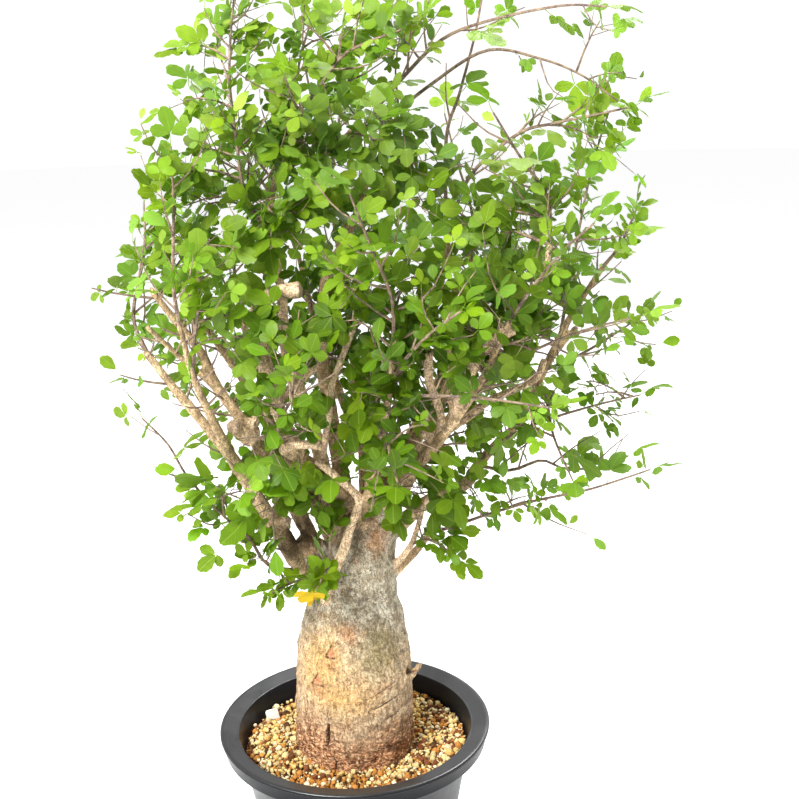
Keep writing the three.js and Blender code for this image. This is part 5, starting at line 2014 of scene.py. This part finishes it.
class COMMIPHORA_OT_sprays(bpy.types.Operator):
    """Grow the leafy sprays and the shoots along the limbs"""

    bl_idname = "commiphora.sprays"
    bl_label = "Leafy sprays"
    bl_options = {"REGISTER", "UNDO"}

    def execute(self, context):
        settings = context.scene.commiphora_leaf
        routes = spray_routes()
        crown = Crown(settings, context.scene.commiphora_studio, routes)
        materials = (twig_bark(settings), leaf_material(settings))
        blade = press_blade()
        sprays = [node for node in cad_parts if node.startswith("leafy_spray")]
        if len(routes) != len(sprays):
            raise RuntimeError(f"{len(routes)} routes were worked out for {len(sprays)} sprays")
        for number, route in enumerate(routes):
            grow_spray(number, route, settings, crown, blade, materials)
        for name, (limbs, between) in SHOOT_GROUPS.items():
            limb_shoots(name, limbs, between, settings, crown, blade, materials)
        return {"FINISHED"}


# Studio


BAND_TOP = 0.12  # how far up a view still meets the white band, and from where it meets the ceiling
CEILING_EDGE = 0.4
RIM_LIGHT = 0.55  # power of the light behind, of the key light's


def plain_material(name, colour, glow):
    shades = Shades(name)
    values = {
        "Base Color": tuple(colour),
        "Roughness": 0.9,
        "Specular IOR Level": 0.1,
        "Emission Color": (1, 1, 1),
        "Emission Strength": glow,
    }
    return shades.coat(values)


def white_surroundings(settings):
    """A white band round the horizon under a dimmer ceiling."""
    world = bpy.data.worlds.new("white_surroundings")
    world.use_nodes = True
    nodes = world.node_tree.nodes
    way = nodes.new("ShaderNodeTexCoord")
    parts = nodes.new("ShaderNodeSeparateXYZ")
    dim = nodes.new("ShaderNodeMapRange")
    limits = {"From Min": BAND_TOP, "From Max": CEILING_EDGE}
    limits.update({"To Min": settings.sky, "To Max": settings.ceiling})
    for socket, value in limits.items():
        dim.inputs[socket].default_value = value
    links = world.node_tree.links
    links.new(way.outputs["Generated"], parts.inputs[0])
    links.new(parts.outputs["Z"], dim.inputs["Value"])
    links.new(dim.outputs[0], nodes["Background"].inputs["Strength"])
    nodes["Background"].inputs["Color"].default_value = (1, 1, 1, 1)
    return world


def soft_light(name, place, aim, size, power):
    bpy.ops.object.light_add(type="AREA", location=place)
    light = bpy.context.object
    light.name = name
    light.data.shape = "DISK"
    light.data.size = size
    light.data.energy = power
    light.rotation_euler = (Vector(aim) - Vector(place)).to_track_quat("-Z", "Y").to_euler()


class COMMIPHORA_OT_studio(bpy.types.Operator):
    """Set up the pale floor, the white surroundings, the lights and the camera"""

    bl_idname = "commiphora.studio"
    bl_label = "Studio"
    bl_options = {"REGISTER", "UNDO"}

    def execute(self, context):
        settings = context.scene.commiphora_studio
        bpy.ops.object.select_all(action="DESELECT")
        under_pot = (0, 0, -0.0005)
        bpy.ops.mesh.primitive_circle_add(vertices=96, radius=12, fill_type="NGON", location=under_pot)
        floor = bpy.context.object
        settle(floor)
        floor.name = "floor"
        set_materials(floor, plain_material("pale_floor", settings.floor, settings.glow))

        context.scene.world = white_surroundings(settings)
        context.scene.view_settings.view_transform = "Standard"

        soft_light("key", (-0.95, -1.5, 1.95), (0, 0, 0.5), 0.9, settings.key)
        soft_light("rim", (0.8, 1.2, 2.2), (0, 0, 0.6), 1.2, settings.key * RIM_LIGHT)

        bpy.ops.object.camera_add(location=settings.camera_place)
        camera = bpy.context.object
        tilt = Matrix.Rotation(math.pi / 2 - settings.camera_pitch, 4, "X")
        camera.rotation_euler = (tilt @ Matrix.Rotation(settings.camera_roll, 4, "Z")).to_euler()
        camera.data.lens = settings.focal
        camera.data.sensor_width = 36
        camera.data.clip_end = 50
        context.scene.camera = camera
        return {"FINISHED"}


# Add-on


class COMMIPHORA_PT_panel(bpy.types.Panel):
    """Lists the steps that dress the tree"""

    bl_idname = "COMMIPHORA_PT_panel"
    bl_label = "Potted commiphora"
    bl_space_type = "VIEW_3D"
    bl_region_type = "UI"
    bl_category = "Commiphora"

    def draw(self, context):
        for operator, group in STEPS:
            box = self.layout.box()
            box.operator(operator.bl_idname)
            settings = getattr(context.scene, group)
            for name in settings.__annotations__:
                box.prop(settings, name)


GROUPS = {
    "commiphora_pot": PotSettings,
    "commiphora_gravel": GravelSettings,
    "commiphora_label": LabelSettings,
    "commiphora_bark": BarkSettings,
    "commiphora_leaf": LeafSettings,
    "commiphora_studio": StudioSettings,
}
STEPS = [
    (COMMIPHORA_OT_pot, "commiphora_pot"),
    (COMMIPHORA_OT_gravel, "commiphora_gravel"),
    (COMMIPHORA_OT_label, "commiphora_label"),
    (COMMIPHORA_OT_wood, "commiphora_bark"),
    (COMMIPHORA_OT_sprays, "commiphora_leaf"),
    (COMMIPHORA_OT_studio, "commiphora_studio"),
]


def register():
    for name, group in GROUPS.items():
        bpy.utils.register_class(group)
        setattr(bpy.types.Scene, name, bpy.props.PointerProperty(type=group))
    for operator, _ in STEPS:
        bpy.utils.register_class(operator)
    bpy.utils.register_class(COMMIPHORA_PT_panel)


def unregister():
    bpy.utils.unregister_class(COMMIPHORA_PT_panel)
    for operator, _ in reversed(STEPS):
        bpy.utils.unregister_class(operator)
    for name, group in reversed(GROUPS.items()):
        delattr(bpy.types.Scene, name)
        bpy.utils.unregister_class(group)


def main():
    register()
    bpy.ops.commiphora.pot()
    bpy.ops.commiphora.gravel()
    bpy.ops.commiphora.label()
    bpy.ops.commiphora.wood()
    bpy.ops.commiphora.sprays()
    bpy.ops.commiphora.studio()


if __name__ == "__main__":
    main()
